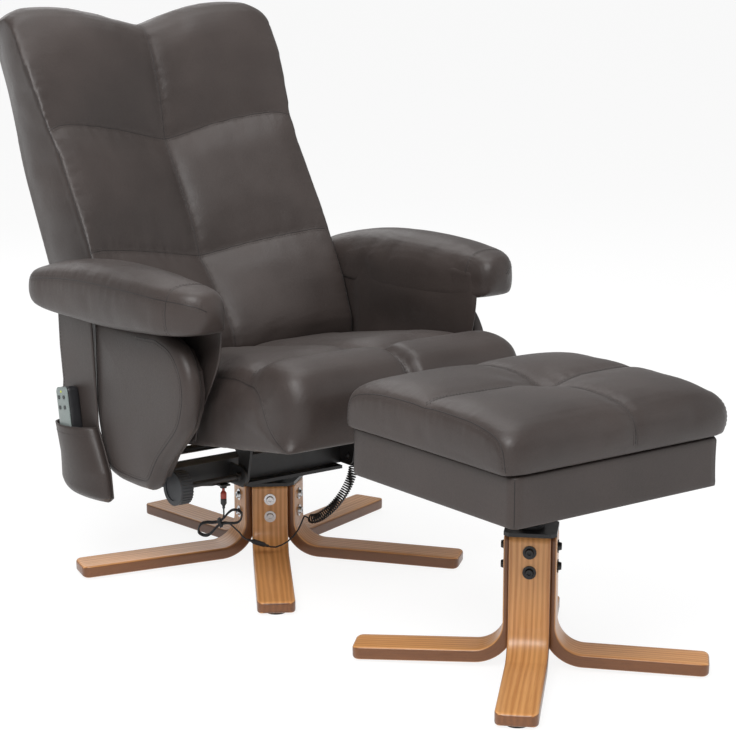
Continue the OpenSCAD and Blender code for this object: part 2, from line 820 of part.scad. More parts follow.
module tilt_plate_outline() {
  difference() {
    union() {
      circle(tilt_eye_r);
      polygon([[-tilt_eye_r * eye_side_share, -tilt_eye_r * eye_low_share], [tilt_eye_r * eye_side_share, 0],
        [tilt_neck_y, tilt_neck_z], [tilt_plate_l / 2, board_z], [-tilt_plate_l / 2, board_z]]);
    }
    circle(d = bush_d + 2 * run_gap);
  }
}

module seat_tilt_plates() {
  outer = lug_x - tilt_plate_gap;
  color(black) seat() both_sides() {
    side_plate(outer - tilt_plate_t, tilt_plate_t) tilt_plate_outline();
    translate([outer - tilt_flange_w, -tilt_plate_l / 2, board_z - tilt_flange_t])
      cube([tilt_flange_w, tilt_plate_l, tilt_flange_t]);
  }
}

module seat_board() {
  color(ply) seat() difference() {
    translate([-seat_board_x, -seat_board_front, board_z])
      cube([2 * seat_board_x, seat_board_front + seat_board_rear, board_t]);
    both_sides() translate([seat_motor_x, -seat_motor_y, board_z - cut])
      cylinder(d = seat_motor_d + 2 * soft_gap, h = board_t + 2 * cut);
  }
}

module seat_motors() {
  color(black) seat() both_sides() translate([seat_motor_x, -seat_motor_y, board_z])
    cylinder(d = seat_motor_d, h = board_t);
}

// Side profile of the seat in Y and Z, from the rear of the underside over the top to the front:
// at the side seam, then at the crown of a channel. Shares of the reach or rear length, and of the height.
seat_seam_y_shares = [1, 1, 1, 0.4, -0.16, -0.42, -0.5, -0.57, -0.62, -0.652, -0.684, -0.72, -0.745,
  -0.76, -0.79, -0.85, -0.93, -0.96];
seat_seam_z_shares = [0, 0.5, 0.97, 0.99, 1, 1, 0.98, 0.95, 0.9, 0.86, 0.82, 0.73, 0.6, 0.44, 0.3, 0.15,
  0.05, 0];
seat_crown_y_shares = [1, 1.03, 1, 0.55, 0.1, -0.28, -0.5, -0.59, -0.652, -0.715, -0.8, -0.9, -0.965, -1,
  -0.995, -0.98, -0.965, -0.962];
seat_crown_z_shares = [0, 0.45, 0.9, 0.95, 0.97, 0.985, 0.99, 0.97, 0.92, 0.975, 1, 0.93, 0.8, 0.58,
  0.36, 0.18, 0.06, 0];
seat_u_shares = [-1, -0.975, -0.91, -0.78, -0.52, -0.26, -0.1, 0, 0.1, 0.26, 0.52, 0.78, 0.91, 0.975, 1];
// Share of the crown that the centre seam takes away, and the seam's width as a share of the half width
seam_dip_share = 0.34;
seam_width_share = 0.11;
// Powers that set how full a cushion stays towards its sides
seat_full = 16;
lid_full = 9;
// Overhang of the front roll past the side seams
seat_roll_out = 8;
roll_start = 9;
roll_steps = 3;

// Rows of the seat's profile just before and just after the tuft
before_tuft = 5;
after_tuft = 11;

function seam_bell(u) = exp(-pow(u / seam_width_share, 2));
function puff(u, full, at = 0) = sqrt(1 - pow(abs(u), full)) * (1 - seam_dip_share * seam_bell(u - at));
function seat_y(s) = s > 0 ? s * seat_rear : s * seat_front;

function seat_point(u, k) = let (
    low = board_z + seat_lip, f = puff(u, seat_full),
    roll = max(0, min(1, (k - roll_start) / roll_steps)) * f * pow(u, 3),
    y0 = seat_y(seat_seam_y_shares[k]), y1 = seat_y(seat_crown_y_shares[k]),
    z0 = low + (seat_seam - low) * seat_seam_z_shares[k],
    z1 = low + (seat_crown - low) * seat_crown_z_shares[k],
    tuft = k > before_tuft && k < after_tuft ? seat_tuft * seam_bell(u) : 0)
  [u * seat_x + roll * seat_roll_out, y0 + (y1 - y0) * f, z0 + (z1 - z0) * f - tuft];

module seat_cushion() {
  color(leather) seat() difference() {
    loft([for (u = seat_u_shares) [for (k = [0 : len(seat_seam_y_shares) - 1]) seat_point(u, k)]]);
    translate([-seat_board_x - soft_gap, -seat_board_front - soft_gap, board_z - cut])
      cube([2 * (seat_board_x + soft_gap), seat_board_front + seat_rear + board_z, board_t + cut + soft_gap]);
  }
}

module bracket_outline() {
  difference() {
    union() {
      translate([hinge_y, hinge_z]) circle(hinge_r);
      polygon([[seat_board_rear - bracket_foot_l, board_z + board_t], [seat_board_rear, board_z + board_t],
        [hinge_y, hinge_z] + hinge_r * bracket_low_share, [hinge_y, hinge_z] + hinge_r * bracket_high_share]);
    }
    translate([hinge_y, hinge_z]) circle(d = pin_d + 2 * run_gap);
  }
}

module back_hinge_brackets() {
  color(black) seat() both_sides() {
    side_plate(hinge_x - hinge_t, hinge_t) bracket_outline();
    translate([hinge_x - bracket_foot_w, seat_board_rear - bracket_foot_l, board_z + board_t])
      cube([bracket_foot_w, bracket_foot_l, hinge_t]);
  }
}

// Back

module back() {
  seat() translate([0, hinge_y, hinge_z]) rotate([seat_pitch - back_lean, 0, 0])
    translate([0, -pivot_back, pivot_drop]) children();
}

module back_board() {
  color(ply) back() difference() {
    translate([-back_board_x, back_depth - back_board_t, -back_board_low])
      cube([2 * back_board_x, back_board_t, back_board_low + back_board_top]);
    both_sides() for (k = [0, 1])
      translate([back_motor_x, back_depth + cut, back_motor_low + k * back_motor_pitch]) rotate([90, 0, 0])
        cylinder(d = back_motor_d + 2 * soft_gap, h = back_board_t + 2 * cut);
  }
}

module back_motors() {
  color(black) back() both_sides() for (k = [0, 1])
    translate([back_motor_x, back_depth, back_motor_low + k * back_motor_pitch]) rotate([90, 0, 0])
      cylinder(d = back_motor_d, h = back_board_t);
}

// Depth of the front face behind (negative) or ahead of the datum, along the back:
// at the centre seam and at the side seams, as shares of the depth against shares of the length
centre_dip_shares = [[0, 0.05], [0.07, 0.04], [0.17, -0.1], [0.287, -0.25], [0.39, -0.22], [0.49, -0.25],
  [0.643, -0.29], [0.76, -0.12], [0.88, -0.02], [1, 0]];
side_lead_shares = [[0, 0.14], [0.15, 0.26], [0.3, 0.27], [0.45, 0.19], [0.66, 0.1], [0.84, 0.11], [1, 0.05]];
row_shares = [0, 0.287, 0.643, 1];
row_steps_shares = [0, 0.1, 0.3, 0.55, 0.8, 0.93];
back_u_shares = [-1, -0.94, -0.8, -0.55, -0.3, -0.1, 0, 0.1, 0.3, 0.55, 0.8, 0.94, 1];
// Share of the depth that the cushion rounds off at its top and bottom edge
edge_share = 0.34;
edge_len = 42;
side_bulge = 2;
chin_drop = 34;

// Ears: where they peak across the half width, how far their corners drop and where the corners start
ear_place_share = 0.75;
ear_corner_share = 0.35;
corner_start_share = 0.85;
// The ears flare outward in front and draw in at the rear between two places up the back
flare_start_share = 0.55;
flare_len_share = 0.33;
// Powers of the curves across a panel, along a row and across the back
column_full = 0.5;
row_full = 0.45;
side_power = 1.4;

function flare_ramp(v) = let (t = max(0, min(1, (v - flare_start_share) / flare_len_share)))
  t * t * (3 - 2 * t);
function back_top(u) = back_len + ear_rise * (1 - pow((abs(u) - ear_place_share) / ear_place_share, 2))
  - ear_rise * ear_corner_share * pow(max(0, abs(u) - corner_start_share) / (1 - corner_start_share), 2);
function row_puff(v) = let (r = v < row_shares[1] ? 0 : v < row_shares[2] ? 1 : 2,
    t = (v - row_shares[r]) / (row_shares[r + 1] - row_shares[r]))
  pow(max(0, 4 * t * (1 - t)), row_full);
function column_puff(u) = pow(max(0, 4 * abs(u) * (1 - abs(u))), column_full);
function edge_in(s, top) = let (q = max(0, 1 - s / edge_len, 1 - (top - s) / edge_len))
  1 - sqrt(max(0, 1 - q * q));
function back_front(u, v) = let (c = lookup(v, centre_dip_shares), e = lookup(v, side_lead_shares))
  back_depth * (c + (e - c) * pow(abs(u), side_power)) + back_crown * column_puff(u) * row_puff(v);

// The front of the cushion's lower end hangs down to the seat
chin_power = 8;
function chin(v) = chin_drop * pow(1 - v, chin_power);

// Side and rear points of a ring: share across, share of the depth ahead of the rear, bulge and flare
rear_shares = [[1, 0.5, 1, 0.3], [0.985, 0, 0, -0.7], [0.5, 0, 0, 0], [0, 0, 0, 0], [-0.5, 0, 0, 0],
  [-0.985, 0, 0, -0.7], [-1, 0.5, 1, 0.3]];

function back_ring(v) = let (rear = back_depth, flare = flare_ramp(v)) concat(
  [for (u = back_u_shares) let (top = back_top(u), s = v * top, n = back_front(u, v), d = rear + n)
    [u * (back_x + flare * back_flare * u * u), -n + d * edge_share * edge_in(s, top), s - chin(v)]],
  [for (w = rear_shares) let (top = back_top(w[0]), s = v * top, n = back_front(w[0], v), d = rear + n)
    [w[0] * (back_x + w[2] * side_bulge + flare * back_flare * w[3]),
      rear - w[1] * d * (1 - edge_share * edge_in(s, top)), s - w[1] * chin(v)]]);

back_v_shares = concat([for (r = [0 : 2], t = row_steps_shares)
  row_shares[r] + t * (row_shares[r + 1] - row_shares[r])], [0.985, 1]);

module back_cushion() {
  color(leather) back() difference() {
    loft([for (v = back_v_shares) back_ring(v)]);
    translate([-back_board_x - soft_gap, back_depth - back_board_t - soft_gap, -back_board_low])
      cube([2 * (back_board_x + soft_gap), back_board_t + cut + soft_gap,
        back_board_low + back_board_top + soft_gap]);
  }
}

cover_steps = 10;

module back_cover() {
  color(leather) back() translate([0, back_depth + cover_t, 0]) rotate([90, 0, 0]) linear_extrude(cover_t)
    polygon(concat([[-back_board_x, -back_board_low], [back_board_x, -back_board_low]],
      [for (i = [cover_steps : -1 : -cover_steps]) let (u = i / cover_steps)
        [u * (back_x - cover_margin), back_top(u) - edge_len * cover_drop_share]]));
}

module back_hinge_arms() {
  web_x = hinge_x + hinge_play;
  front = back_depth - back_board_t;
  color(black) back() both_sides() {
    side_plate(web_x, hinge_t) union() {
      translate([pivot_back, -pivot_drop]) circle(hinge_r);
      translate([pivot_back, -pivot_drop - hinge_r]) square([front - pivot_back, 2 * hinge_r]);
    }
    translate([web_x - arm_flange_w, front - hinge_t, -back_board_low])
      cube([arm_flange_w, hinge_t, arm_flange_h]);
    translate([hinge_x - hinge_t - cut, pivot_back, -pivot_drop]) rotate([0, 90, 0])
      cylinder(d = pin_d, h = hinge_t + cut + hinge_play + hinge_t / 2);
  }
}

// Handset

module handset() {
  chair() translate([-flap_x - flap_t - pouch_gap, hand_y, hand_z]) rotate([-hand_tilt, 0, 0]) children();
}

module hand_slab(from, to) {
  translate([-to, 0, hand_l / 2]) rotate([90, 0, 90]) linear_extrude(to - from)
    rounded(hand_w, hand_l, hand_r);
}

// Places of the buttons on the face, across and up from the bottom
button_x = 9;
button_high = 152;
button_low = 134;
button_places = [[-button_x, button_high], [button_x, button_high], [-button_x, button_low],
  [button_x, button_low]];

module handset_front() {
  color(handset_grey) handset() difference() {
    hand_slab(hand_t - hand_front_t, hand_t);
    for (p = button_places) translate([-hand_t - cut, p[0], p[1]]) rotate([0, 90, 0])
      cylinder(d = button_d + 2 * button_gap, h = button_well + cut);
  }
}

module handset_rear() {
  color(black) handset() hand_slab(0, hand_t - hand_front_t);
}

module button(k) {
  color("#3a3f40") handset() translate([-hand_t - button_out, button_places[k][0], button_places[k][1]])
    rotate([0, 90, 0]) cylinder(d = button_d, h = button_h);
}

// Leads and cords

module on_line(from, to) {
  d = to - from;
  translate(from) rotate([0, acos(d[2] / norm(d)), atan2(d[1], d[0])]) children();
}

// Outline of an inline connector: share of the length, and share of the step from its tail to its body
connector_shares = [[0, 0], [0.14, 0], [0.26, 1], [0.5, 1], [0.52, 0.75], [0.54, 1], [0.76, 1], [0.88, 0],
  [1, 0]];

module connector(from, to, d) {
  l = norm(to - from);
  on_line(from, to) rotate_extrude() polygon(concat([[0, 0]],
    [for (c = connector_shares) [(tail_d + (d - tail_d) * c[1]) / 2, l * c[0]]], [[0, l]]));
}

module power_connector() {
  color(lead_red) chair() connector(connector_top, connector_low, connector_d);
}

module barrel_connector() {
  color(black) chair() connector(barrel_start, barrel_end, barrel_d);
}

// The hank lies in an upright plane that faces the front right corner of the base
hank_across = [cos(hank_turn), sin(hank_turn), 0];
hank_through = [-sin(hank_turn), cos(hank_turn), 0];
hank_rings = 24;
pinch_share = 0.72;

function hank_point(i) = let (
    a = 90 + i * 360 / hank_rings, w = (i / hank_rings - hank_turns / 2) * hank_step,
    x = hank_half_l * cos(a), pinch = pow(cos(a), 2),
    z = sin(a) * (hank_waist_h + (hank_half_h - hank_waist_h) * 4 * pinch * (1 - pinch * pinch_share)),
    p = x * cos(hank_tilt) - z * sin(hank_tilt), q = x * sin(hank_tilt) + z * cos(hank_tilt))
  hank_centre + hank_across * p + hank_through * w + [0, 0, q];

hank_path = concat(upper_route, [for (i = [0 : hank_rings * hank_turns]) hank_point(i)], middle_route);

module hank_lead() {
  color(black) chair() tube(hank_path, lead_d, lead_sides);
}

module hank_tie() {
  color(black) chair() translate(hank_centre) rotate([0, -hank_tilt, hank_turn]) difference() {
    cube(tie_inner + [0, 2 * tie_wall, 2 * tie_wall], center = true);
    cube(tie_inner + [cut, 0, 0], center = true);
  }
}

// Centre line of the curly cord: a cubic curve in the plane at curl_y, walked by length
function bezier(p, t) = pow(1 - t, 3) * p[0] + 3 * pow(1 - t, 2) * t * p[1] + 3 * (1 - t) * t * t * p[2]
  + pow(t, 3) * p[3];
curl_samples = 60;
function walked(i) = i == 0 ? 0 :
  walked(i - 1) + norm(bezier(curl_route, i / curl_samples) - bezier(curl_route, (i - 1) / curl_samples));
curl_table = [for (i = [0 : curl_samples]) [walked(i), i / curl_samples]];
curl_length = curl_table[curl_samples][0];
curl_rings = 8;
curl_stub = 4;
curl_ramp = 5;
curl_probe = 0.01;

function curl_point(i) = let (
    total = curls * curl_rings, share = i / total,
    s = curl_stub + (curl_length - 2 * curl_stub) * share,
    t = lookup(s, curl_table), c = bezier(curl_route, t),
    d = unit(bezier(curl_route, min(1, t + curl_probe)) - bezier(curl_route, max(0, t - curl_probe))),
    r = (curl_d - lead_d) / 2 * min(1, i / curl_ramp, (total - i) / curl_ramp), a = i * 360 / curl_rings)
  [c[0] - d[1] * r * cos(a), curl_y + r * sin(a), c[1] + d[0] * r * cos(a)];

curl_path = concat(lower_route, [[curl_route[0][0], curl_y, curl_route[0][1]]],
  [for (i = [0 : curls * curl_rings]) curl_point(i)],
  [[curl_route[3][0], curl_y, curl_route[3][1]]]);

module curly_lead() {
  color(black) chair() tube(curl_path, lead_d, lead_sides);
}

// Least gap of a wound tube to itself, over points at least a good half turn apart
hank_apart = 9;
curl_apart = 6;
function least_gap(p, d, apart) = min([for (i = [0 : len(p) - 1], j = [i + apart : 1 : len(p) - 1])
  norm(p[i] - p[j])]) - d;
echo(hank_gap = least_gap(hank_path, lead_d, hank_apart));
echo(curl_gap = least_gap(curl_path, lead_d, curl_apart));

// Footstool

module stool_leg(i) {
  color(wood) stool() rotate(stool_turn + i * 360 / stool_leg_count)
    bent_leg(stool_face, stool_hub_h, stool_reach, stool_leg_count);
}

module stool_hub_core() {
  color(black) stool() difference() {
    rotate(stool_turn) hub_prism(stool_face, stool_hub_h, stool_core_h, stool_leg_count, stool_thread);
    translate([0, 0, stool_hub_h - stool_core_h - cut])
      cylinder(d = stool_post_d + 2 * run_gap, h = stool_core_h + 2 * cut);
  }
}

module stool_hub_cap() {
  color(black) stool() difference() {
    translate([0, 0, stool_hub_h]) rotate(stool_turn) linear_extrude(cap_t)
      hub_plate(stool_face, stool_leg_count);
    translate([0, 0, stool_hub_h - cut]) cylinder(d = stool_post_d + 2 * run_gap, h = cap_t + 2 * cut);
  }
}

module stool_bolts() {
  color(black) stool() rotate(stool_turn)
    hub_fasteners(stool_face, stool_hub_h, stool_leg_count, stool_thread);
}

module stool_foot_pads() {
  color(black) stool() rotate(stool_turn) foot_pads(stool_face, stool_reach, stool_leg_count);
}

module stool_post() {
  foot = stool_hub_h - stool_core_h + cut;
  color(black) stool() {
    translate([0, 0, foot]) cylinder(d = stool_post_d, h = box_z - stool_plate_t - foot);
    translate([0, 0, stool_hub_h + cap_t + collar_gap])
      cylinder(d = stool_post_d + 2 * collar_over, h = collar_h);
    translate([-stool_plate_w / 2, -stool_plate_w / 2, box_z - stool_plate_t])
      cube([stool_plate_w, stool_plate_w, stool_plate_t]);
  }
}

module stool_box() {
  color(leather) stool() difference() {
    translate([-box_w / 2, -box_l / 2, box_z]) cube([box_w, box_l, box_h]);
    translate([box_wall - box_w / 2, box_wall - box_l / 2, box_z + box_wall])
      cube([box_w - 2 * box_wall, box_l - 2 * box_wall, box_h]);
  }
}

lid_z = box_z + box_h + lid_gap;
knuckle_x = box_w / 2 + knuckle_r + soft_gap;
knuckle_z = lid_z - soft_gap - knuckle_r;

module lid_board() {
  color(ply) stool() translate([lid_margin - box_w / 2, lid_margin - box_l / 2, lid_z])
    cube([box_w - 2 * lid_margin, box_l - 2 * lid_margin, lid_board_t]);
}

module lid_hinge() {
  color(steel) stool() {
    translate([box_w / 2 - leaf_h, -leaf_l / 2, box_z + box_h + (lid_gap - leaf_t)])
      cube([knuckle_x - box_w / 2 + leaf_h, leaf_l, leaf_t]);
    translate([knuckle_x, leaf_l / 2, knuckle_z]) rotate([90, 0, 0]) cylinder(r = knuckle_r, h = leaf_l);
  }
}

// Half profile of the lid cushion in Y and Z, from the middle of the underside round the front to the
// middle of the top: at the side seam, then at the crown. Shares of the half length and of the height.
lid_seam_y_shares = [0.5, 0.94, 0.965, 0.96, 0.94, 0.9, 0.8, 0.6, 0.35, 0.12];
lid_seam_z_shares = [0, 0, 0.15, 0.35, 0.55, 0.72, 0.85, 0.95, 0.99, 1];
lid_crown_y_shares = [0.5, 0.93, 0.99, 1, 0.985, 0.93, 0.82, 0.58, 0.3, 0.1];
lid_crown_z_shares = [0, 0, 0.14, 0.34, 0.57, 0.76, 0.89, 0.98, 1, 0.97];
lid_last = len(lid_seam_y_shares) - 1;
lid_profile = concat([for (k = [0 : lid_last]) [k, 1]], [[lid_last + 1, 0]],
  [for (k = [lid_last : -1 : 0]) [k, -1]]);
lid_u_shares = [-1, -0.975, -0.91, -0.75, -0.45, -0.17, -0.01, 0.093, 0.196, 0.36, 0.6, 0.82, 0.91, 0.975, 1];
// Place of the seam along Y and of the tuft, as a share of the half width
lid_seam_share = 0.093;
lid_fold_share = 0.9;
lid_tuft_width_share = 0.16;
lid_tuft_edge_share = 0.35;
corner_in_share = 0.06;
corner_power = 16;
tuft_rings = 7;

function lid_tuft_bell(u) = exp(-pow((u - lid_seam_share) / lid_tuft_width_share, 2));

function lid_point(u, place) = let (
    k = min(place[0], lid_last), fold = place[0] > lid_last,
    s = fold ? 0 : place[1] * (1 - corner_in_share * pow(abs(u), corner_power)),
    f = puff(u, lid_full, lid_seam_share), half = box_l / 2 + lid_over, low = lid_z + soft_gap,
    y = s * half * (lid_seam_y_shares[k] + (lid_crown_y_shares[k] - lid_seam_y_shares[k]) * f),
    z0 = (lid_seam - lid_gap) * lid_seam_z_shares[k],
    z1 = (lid_crown - lid_gap) * lid_crown_z_shares[k] * (fold ? lid_fold_share : 1),
    tuft = k > tuft_rings ? lid_tuft * lid_tuft_bell(u) * (k == lid_last ? 1 : lid_tuft_edge_share) : 0)
  [u * (box_w / 2 + lid_over), y, low + z0 + (z1 - z0) * f - tuft];

module lid_cushion() {
  color(leather) stool() difference() {
    loft([for (u = lid_u_shares) [for (place = lid_profile) lid_point(u, place)]]);
    translate([lid_margin - box_w / 2 - soft_gap, lid_margin - box_l / 2 - soft_gap, lid_z - cut])
      cube([box_w - 2 * lid_margin + 2 * soft_gap, box_l - 2 * lid_margin + 2 * soft_gap,
        lid_board_t + cut + soft_gap]);
  }
}

base_leg(0);  // base_leg_1
base_leg(1);  // base_leg_2
base_leg(2);  // base_leg_3
base_leg(3);  // base_leg_4
base_leg(4);  // base_leg_5
hub_core();
hub_cap();
hub_bolts();
base_foot_pads();
bearing_sleeve();
swivel_post();
cross_beam();
rear_tie_bar();
side_frame_left();
side_frame_right();
frame_bolts();
side_panel_left();
side_panel_right();
arm_pad_left();
arm_pad_right();
arm_skirt_left();
arm_skirt_right();
pocket_flap();
handset_pocket();
cord_grommets();
lock_knob();
lock_shaft();
seat_tilt_plates();
seat_board();
seat_cushion();
seat_motors();
back_hinge_brackets();
back_board();
back_cushion();
back_cover();
back_hinge_arms();
back_motors();
handset_front();
handset_rear();
button(0);  // button_power
button(1);  // button_mode
button(2);  // button_up
button(3);  // button_down
power_connector();
hank_lead();
hank_tie();
barrel_connector();
curly_lead();
stool_leg(0);  // stool_leg_1
stool_leg(1);  // stool_leg_2
stool_leg(2);  // stool_leg_3
stool_leg(3);  // stool_leg_4
stool_hub_core();
stool_hub_cap();
stool_bolts();
stool_foot_pads();
stool_post();
stool_box();
lid_board();
lid_hinge();
lid_cushion();
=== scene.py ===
"""Swivel reflexology recliner with its storage footstool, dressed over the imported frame."""
from __future__ import annotations

import json
import logging
from dataclasses import dataclass
from enum import Enum
from math import cos, exp, hypot, pi, radians, sin, sqrt, tan, tau
from typing import Callable, Iterable, Sequence

import bmesh
import bpy
import numpy as np
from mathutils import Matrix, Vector, noise
from mathutils.bvhtree import BVHTree
from mathutils.kdtree import KDTree


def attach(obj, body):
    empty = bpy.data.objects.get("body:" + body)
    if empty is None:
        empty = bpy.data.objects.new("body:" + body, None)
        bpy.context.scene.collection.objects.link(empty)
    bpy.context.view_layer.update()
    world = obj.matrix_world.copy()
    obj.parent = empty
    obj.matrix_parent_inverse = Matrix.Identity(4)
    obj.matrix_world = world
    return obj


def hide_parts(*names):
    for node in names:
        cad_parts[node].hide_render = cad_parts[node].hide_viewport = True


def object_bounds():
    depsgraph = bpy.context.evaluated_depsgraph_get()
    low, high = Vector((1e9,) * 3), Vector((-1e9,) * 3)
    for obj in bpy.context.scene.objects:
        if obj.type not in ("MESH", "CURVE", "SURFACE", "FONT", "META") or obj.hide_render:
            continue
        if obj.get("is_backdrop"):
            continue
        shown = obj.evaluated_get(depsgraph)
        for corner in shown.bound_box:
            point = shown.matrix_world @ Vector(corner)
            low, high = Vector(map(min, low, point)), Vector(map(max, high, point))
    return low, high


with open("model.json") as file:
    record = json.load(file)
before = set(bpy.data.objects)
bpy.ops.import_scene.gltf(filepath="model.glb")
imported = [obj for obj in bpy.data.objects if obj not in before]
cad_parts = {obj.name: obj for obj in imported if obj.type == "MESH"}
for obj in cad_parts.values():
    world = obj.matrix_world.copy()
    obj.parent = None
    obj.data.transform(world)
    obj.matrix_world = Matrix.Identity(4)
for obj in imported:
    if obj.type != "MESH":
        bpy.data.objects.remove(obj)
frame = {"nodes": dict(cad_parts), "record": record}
CAD_BOX = [list(corner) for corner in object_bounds()]

log = logging.getLogger("recliner")
logging.basicConfig(level=logging.INFO, format="%(message)s")

MM = 0.001
TINY = 1e-12
SEAM_STEP = 3.0
BEVEL_ANGLE = 35.0
Table = Sequence[float]
Pairs = Sequence[tuple[float, ...]]
Pair = tuple[float, float]
Triple = tuple[float, float, float]
Array = np.ndarray
Piece = bpy.types.Object


class Body(Enum):
    """Moving bodies of the frame that pieces ride on."""

    BASE = "base"
    UPPER = "upper_frame"
    SEAT = "seat"
    BACK = "back"
    HANDSET = "handset"
    STOOL_BASE = "stool_base"
    STOOL_TOP = "stool_top"
    LID = "lid"


class Side(Enum):
    """The sitter's left and right, as signs along X."""

    LEFT = 1
    RIGHT = -1

    @property
    def tag(self) -> str:
        """The side's word in the names of pieces and nodes."""
        return self.name.lower()


def joint_place(name: str) -> Array:
    """Point of a joint in millimetres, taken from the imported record."""
    for joint in frame["record"]["behaviour"]["joints"]:
        if joint["name"] == name:
            return np.array(joint["pos_m"]) / MM
    raise KeyError(name)


CHAIR_Y = joint_place("chair_swivel")[1]
STOOL_Y = joint_place("stool_swivel")[1]


@dataclass(frozen=True)
class Placing:
    """A local frame in millimetres: an origin and a lean about X."""

    origin: Triple
    lean: float = 0.0

    def world(self, points: Array) -> Array:
        """Points of the local frame in the row frame.

        Args:
            points: array of points, in local millimetres.

        Returns:
            The points in metres.
        """
        c, s = cos(radians(self.lean)), sin(radians(self.lean))
        p = np.asarray(points, dtype=float)
        turned = np.stack([p[..., 0], p[..., 1] * c + p[..., 2] * s, p[..., 2] * c - p[..., 1] * s], axis=-1)
        return (turned + np.array(self.origin)) * MM


SEAT_PITCH, BACK_LEAN = 8.7, 28.0
PIVOT_BACK, PIVOT_DROP = 85.0, 40.0
CHAIR = Placing((0.0, CHAIR_Y, 0.0))
STOOL = Placing((0.0, STOOL_Y, 0.0))
SEAT = Placing(tuple(joint_place("seat_tilt")), SEAT_PITCH)


def back_placing() -> Placing:
    """The back's frame, whose Z runs up the back and whose Y points to its rear."""
    c, s = cos(radians(BACK_LEAN)), sin(radians(BACK_LEAN))
    hinge = joint_place("back_recline")
    return Placing((0.0, hinge[1] - PIVOT_BACK * c + PIVOT_DROP * s,
                    hinge[2] + PIVOT_BACK * s + PIVOT_DROP * c), BACK_LEAN)


BACK = back_placing()
HANDSET = Placing((-331.0, CHAIR_Y + 94.0, 172.0), 10.0)


# Curves and tables

def smooth_line(points: Sequence, count: int, closed: bool = False) -> Array:
    """A Catmull-Rom curve through points, sampled evenly by knot.

    Args:
        points: control points of any dimension.
        count: number of samples.
        closed: whether the curve returns to its start.

    Returns:
        The samples, without a repeated end on a closed curve.
    """
    p = np.asarray(points, dtype=float)
    n = len(p)
    spans = n if closed else n - 1
    t = np.linspace(0, spans, count, endpoint=not closed)
    i = np.minimum(t.astype(int), spans - 1)
    f = (t - i)[:, None]

    def pick(k: Array) -> Array:
        """Control points by index, wrapped or held at the ends."""
        return p[k % n] if closed else p[np.clip(k, 0, n - 1)]

    a, b, c, d = pick(i - 1), pick(i), pick(i + 1), pick(i + 2)
    return 0.5 * (2 * b + (c - a) * f + (2 * a - 5 * b + 4 * c - d) * f ** 2
                  + (3 * b - a - 3 * c + d) * f ** 3)


def even_line(points: Array, step: float, closed: bool = False) -> Array:
    """A polyline resampled at an even step of length, without a repeated end when it is closed."""
    p = np.vstack([points, points[:1]]) if closed else np.asarray(points, dtype=float)
    lengths = np.concatenate([[0], np.cumsum(np.linalg.norm(np.diff(p, axis=0), axis=1))])
    count = max(2, int(round(lengths[-1] / step)) + (0 if closed else 1))
    s = np.linspace(0, lengths[-1], count, endpoint=not closed)
    return np.stack([np.interp(s, lengths, p[:, k]) for k in range(p.shape[1])], axis=1)


def bell(x: Array | float, width: float) -> Array | float:
    """A bell of height one and the given half width."""
    return np.exp(-(np.asarray(x) / width) ** 2)


def eased(share: Array | float) -> Array | float:
    """A share from zero to one, made to start and end gently."""
    return share * share * (3 - 2 * share)


def crowded_ends(count: int) -> Array:
    """Places from -1 to 1 that lie closer together towards both ends."""
    u = np.linspace(-1, 1, count)
    return np.sign(u) * (1 - (1 - np.abs(u)) ** 1.5)


def rounded_rectangle(half: Sequence[float], corner: float, first: int, steps: int) -> Array:
    """A rounded rectangle about the origin.

    Args:
        half: half of each of its two lengths.
        corner: radius of its corners.
        first: quarter turn at which the first corner starts.
        steps: steps in each corner.

    Returns:
        The points, turning from the first axis to the second.
    """
    points = []
    for quarter in range(first, first + 4):
        middle = radians(90 * quarter + 45)
        signs = np.sign([cos(middle), sin(middle)])
        for k in range(steps + 1):
            a = radians(90 * quarter + k * 90 / steps)
            points.append(signs * (np.array(half) - corner) + corner * np.array([cos(a), sin(a)]))
    return np.array(points)


def outline_rings(edge: Array, middle: Array, steps: Iterable[tuple], axis: int) -> Array:
    """Rings of one outline, for pairs of place along an axis and scale about a middle."""
    return np.array([np.insert(middle + (edge - middle) * scale, axis, place, axis=1) for place, scale in steps])


def new_piece(name: str, verts: Array, faces: Iterable, smooth: bool = True) -> Piece:
    """A mesh object in the scene.

    Args:
        name: piece name.
        verts: vertices in metres.
        faces: faces as tuples of vertex numbers.
        smooth: whether the faces shade smoothly.

    Returns:
        The object.
    """
    mesh = bpy.data.meshes.new(name)
    mesh.from_pydata([tuple(map(float, v)) for v in verts], [], [tuple(map(int, f)) for f in faces])
    mesh.polygons.foreach_set("use_smooth", [smooth] * len(mesh.polygons))
    mesh.update()
    obj = bpy.data.objects.new(name, mesh)
    bpy.context.scene.collection.objects.link(obj)
    return obj


def ring_faces(rings: int, sides: int) -> list[tuple[int, ...]]:
    """Quads between stacked rings, with an n-gon at each end."""
    faces = [(i * sides + j, i * sides + (j + 1) % sides, (i + 1) * sides + (j + 1) % sides,
              (i + 1) * sides + j) for i in range(rings - 1) for j in range(sides)]
    faces.append(tuple(reversed(range(sides))))
    faces.append(tuple((rings - 1) * sides + j for j in range(sides)))
    return faces


def face_outward(obj: Piece) -> None:
    """Turns all faces of a piece outward."""
    bm = bmesh.new()
    bm.from_mesh(obj.data)
    bmesh.ops.recalc_face_normals(bm, faces=bm.faces)
    bm.to_mesh(obj.data)
    bm.free()


def lofted(name: str, rings: Array, place: Placing) -> Piece:
    """A closed form through rings of points given in a local frame.

    Args:
        name: piece name.
        rings: array of rings, sides and coordinates, in local millimetres.
        place: the local frame.

    Returns:
        The object.
    """
    r, s = rings.shape[:2]
    obj = new_piece(name, place.world(rings.reshape(-1, 3)), ring_faces(r, s))
    face_outward(obj)
    return obj


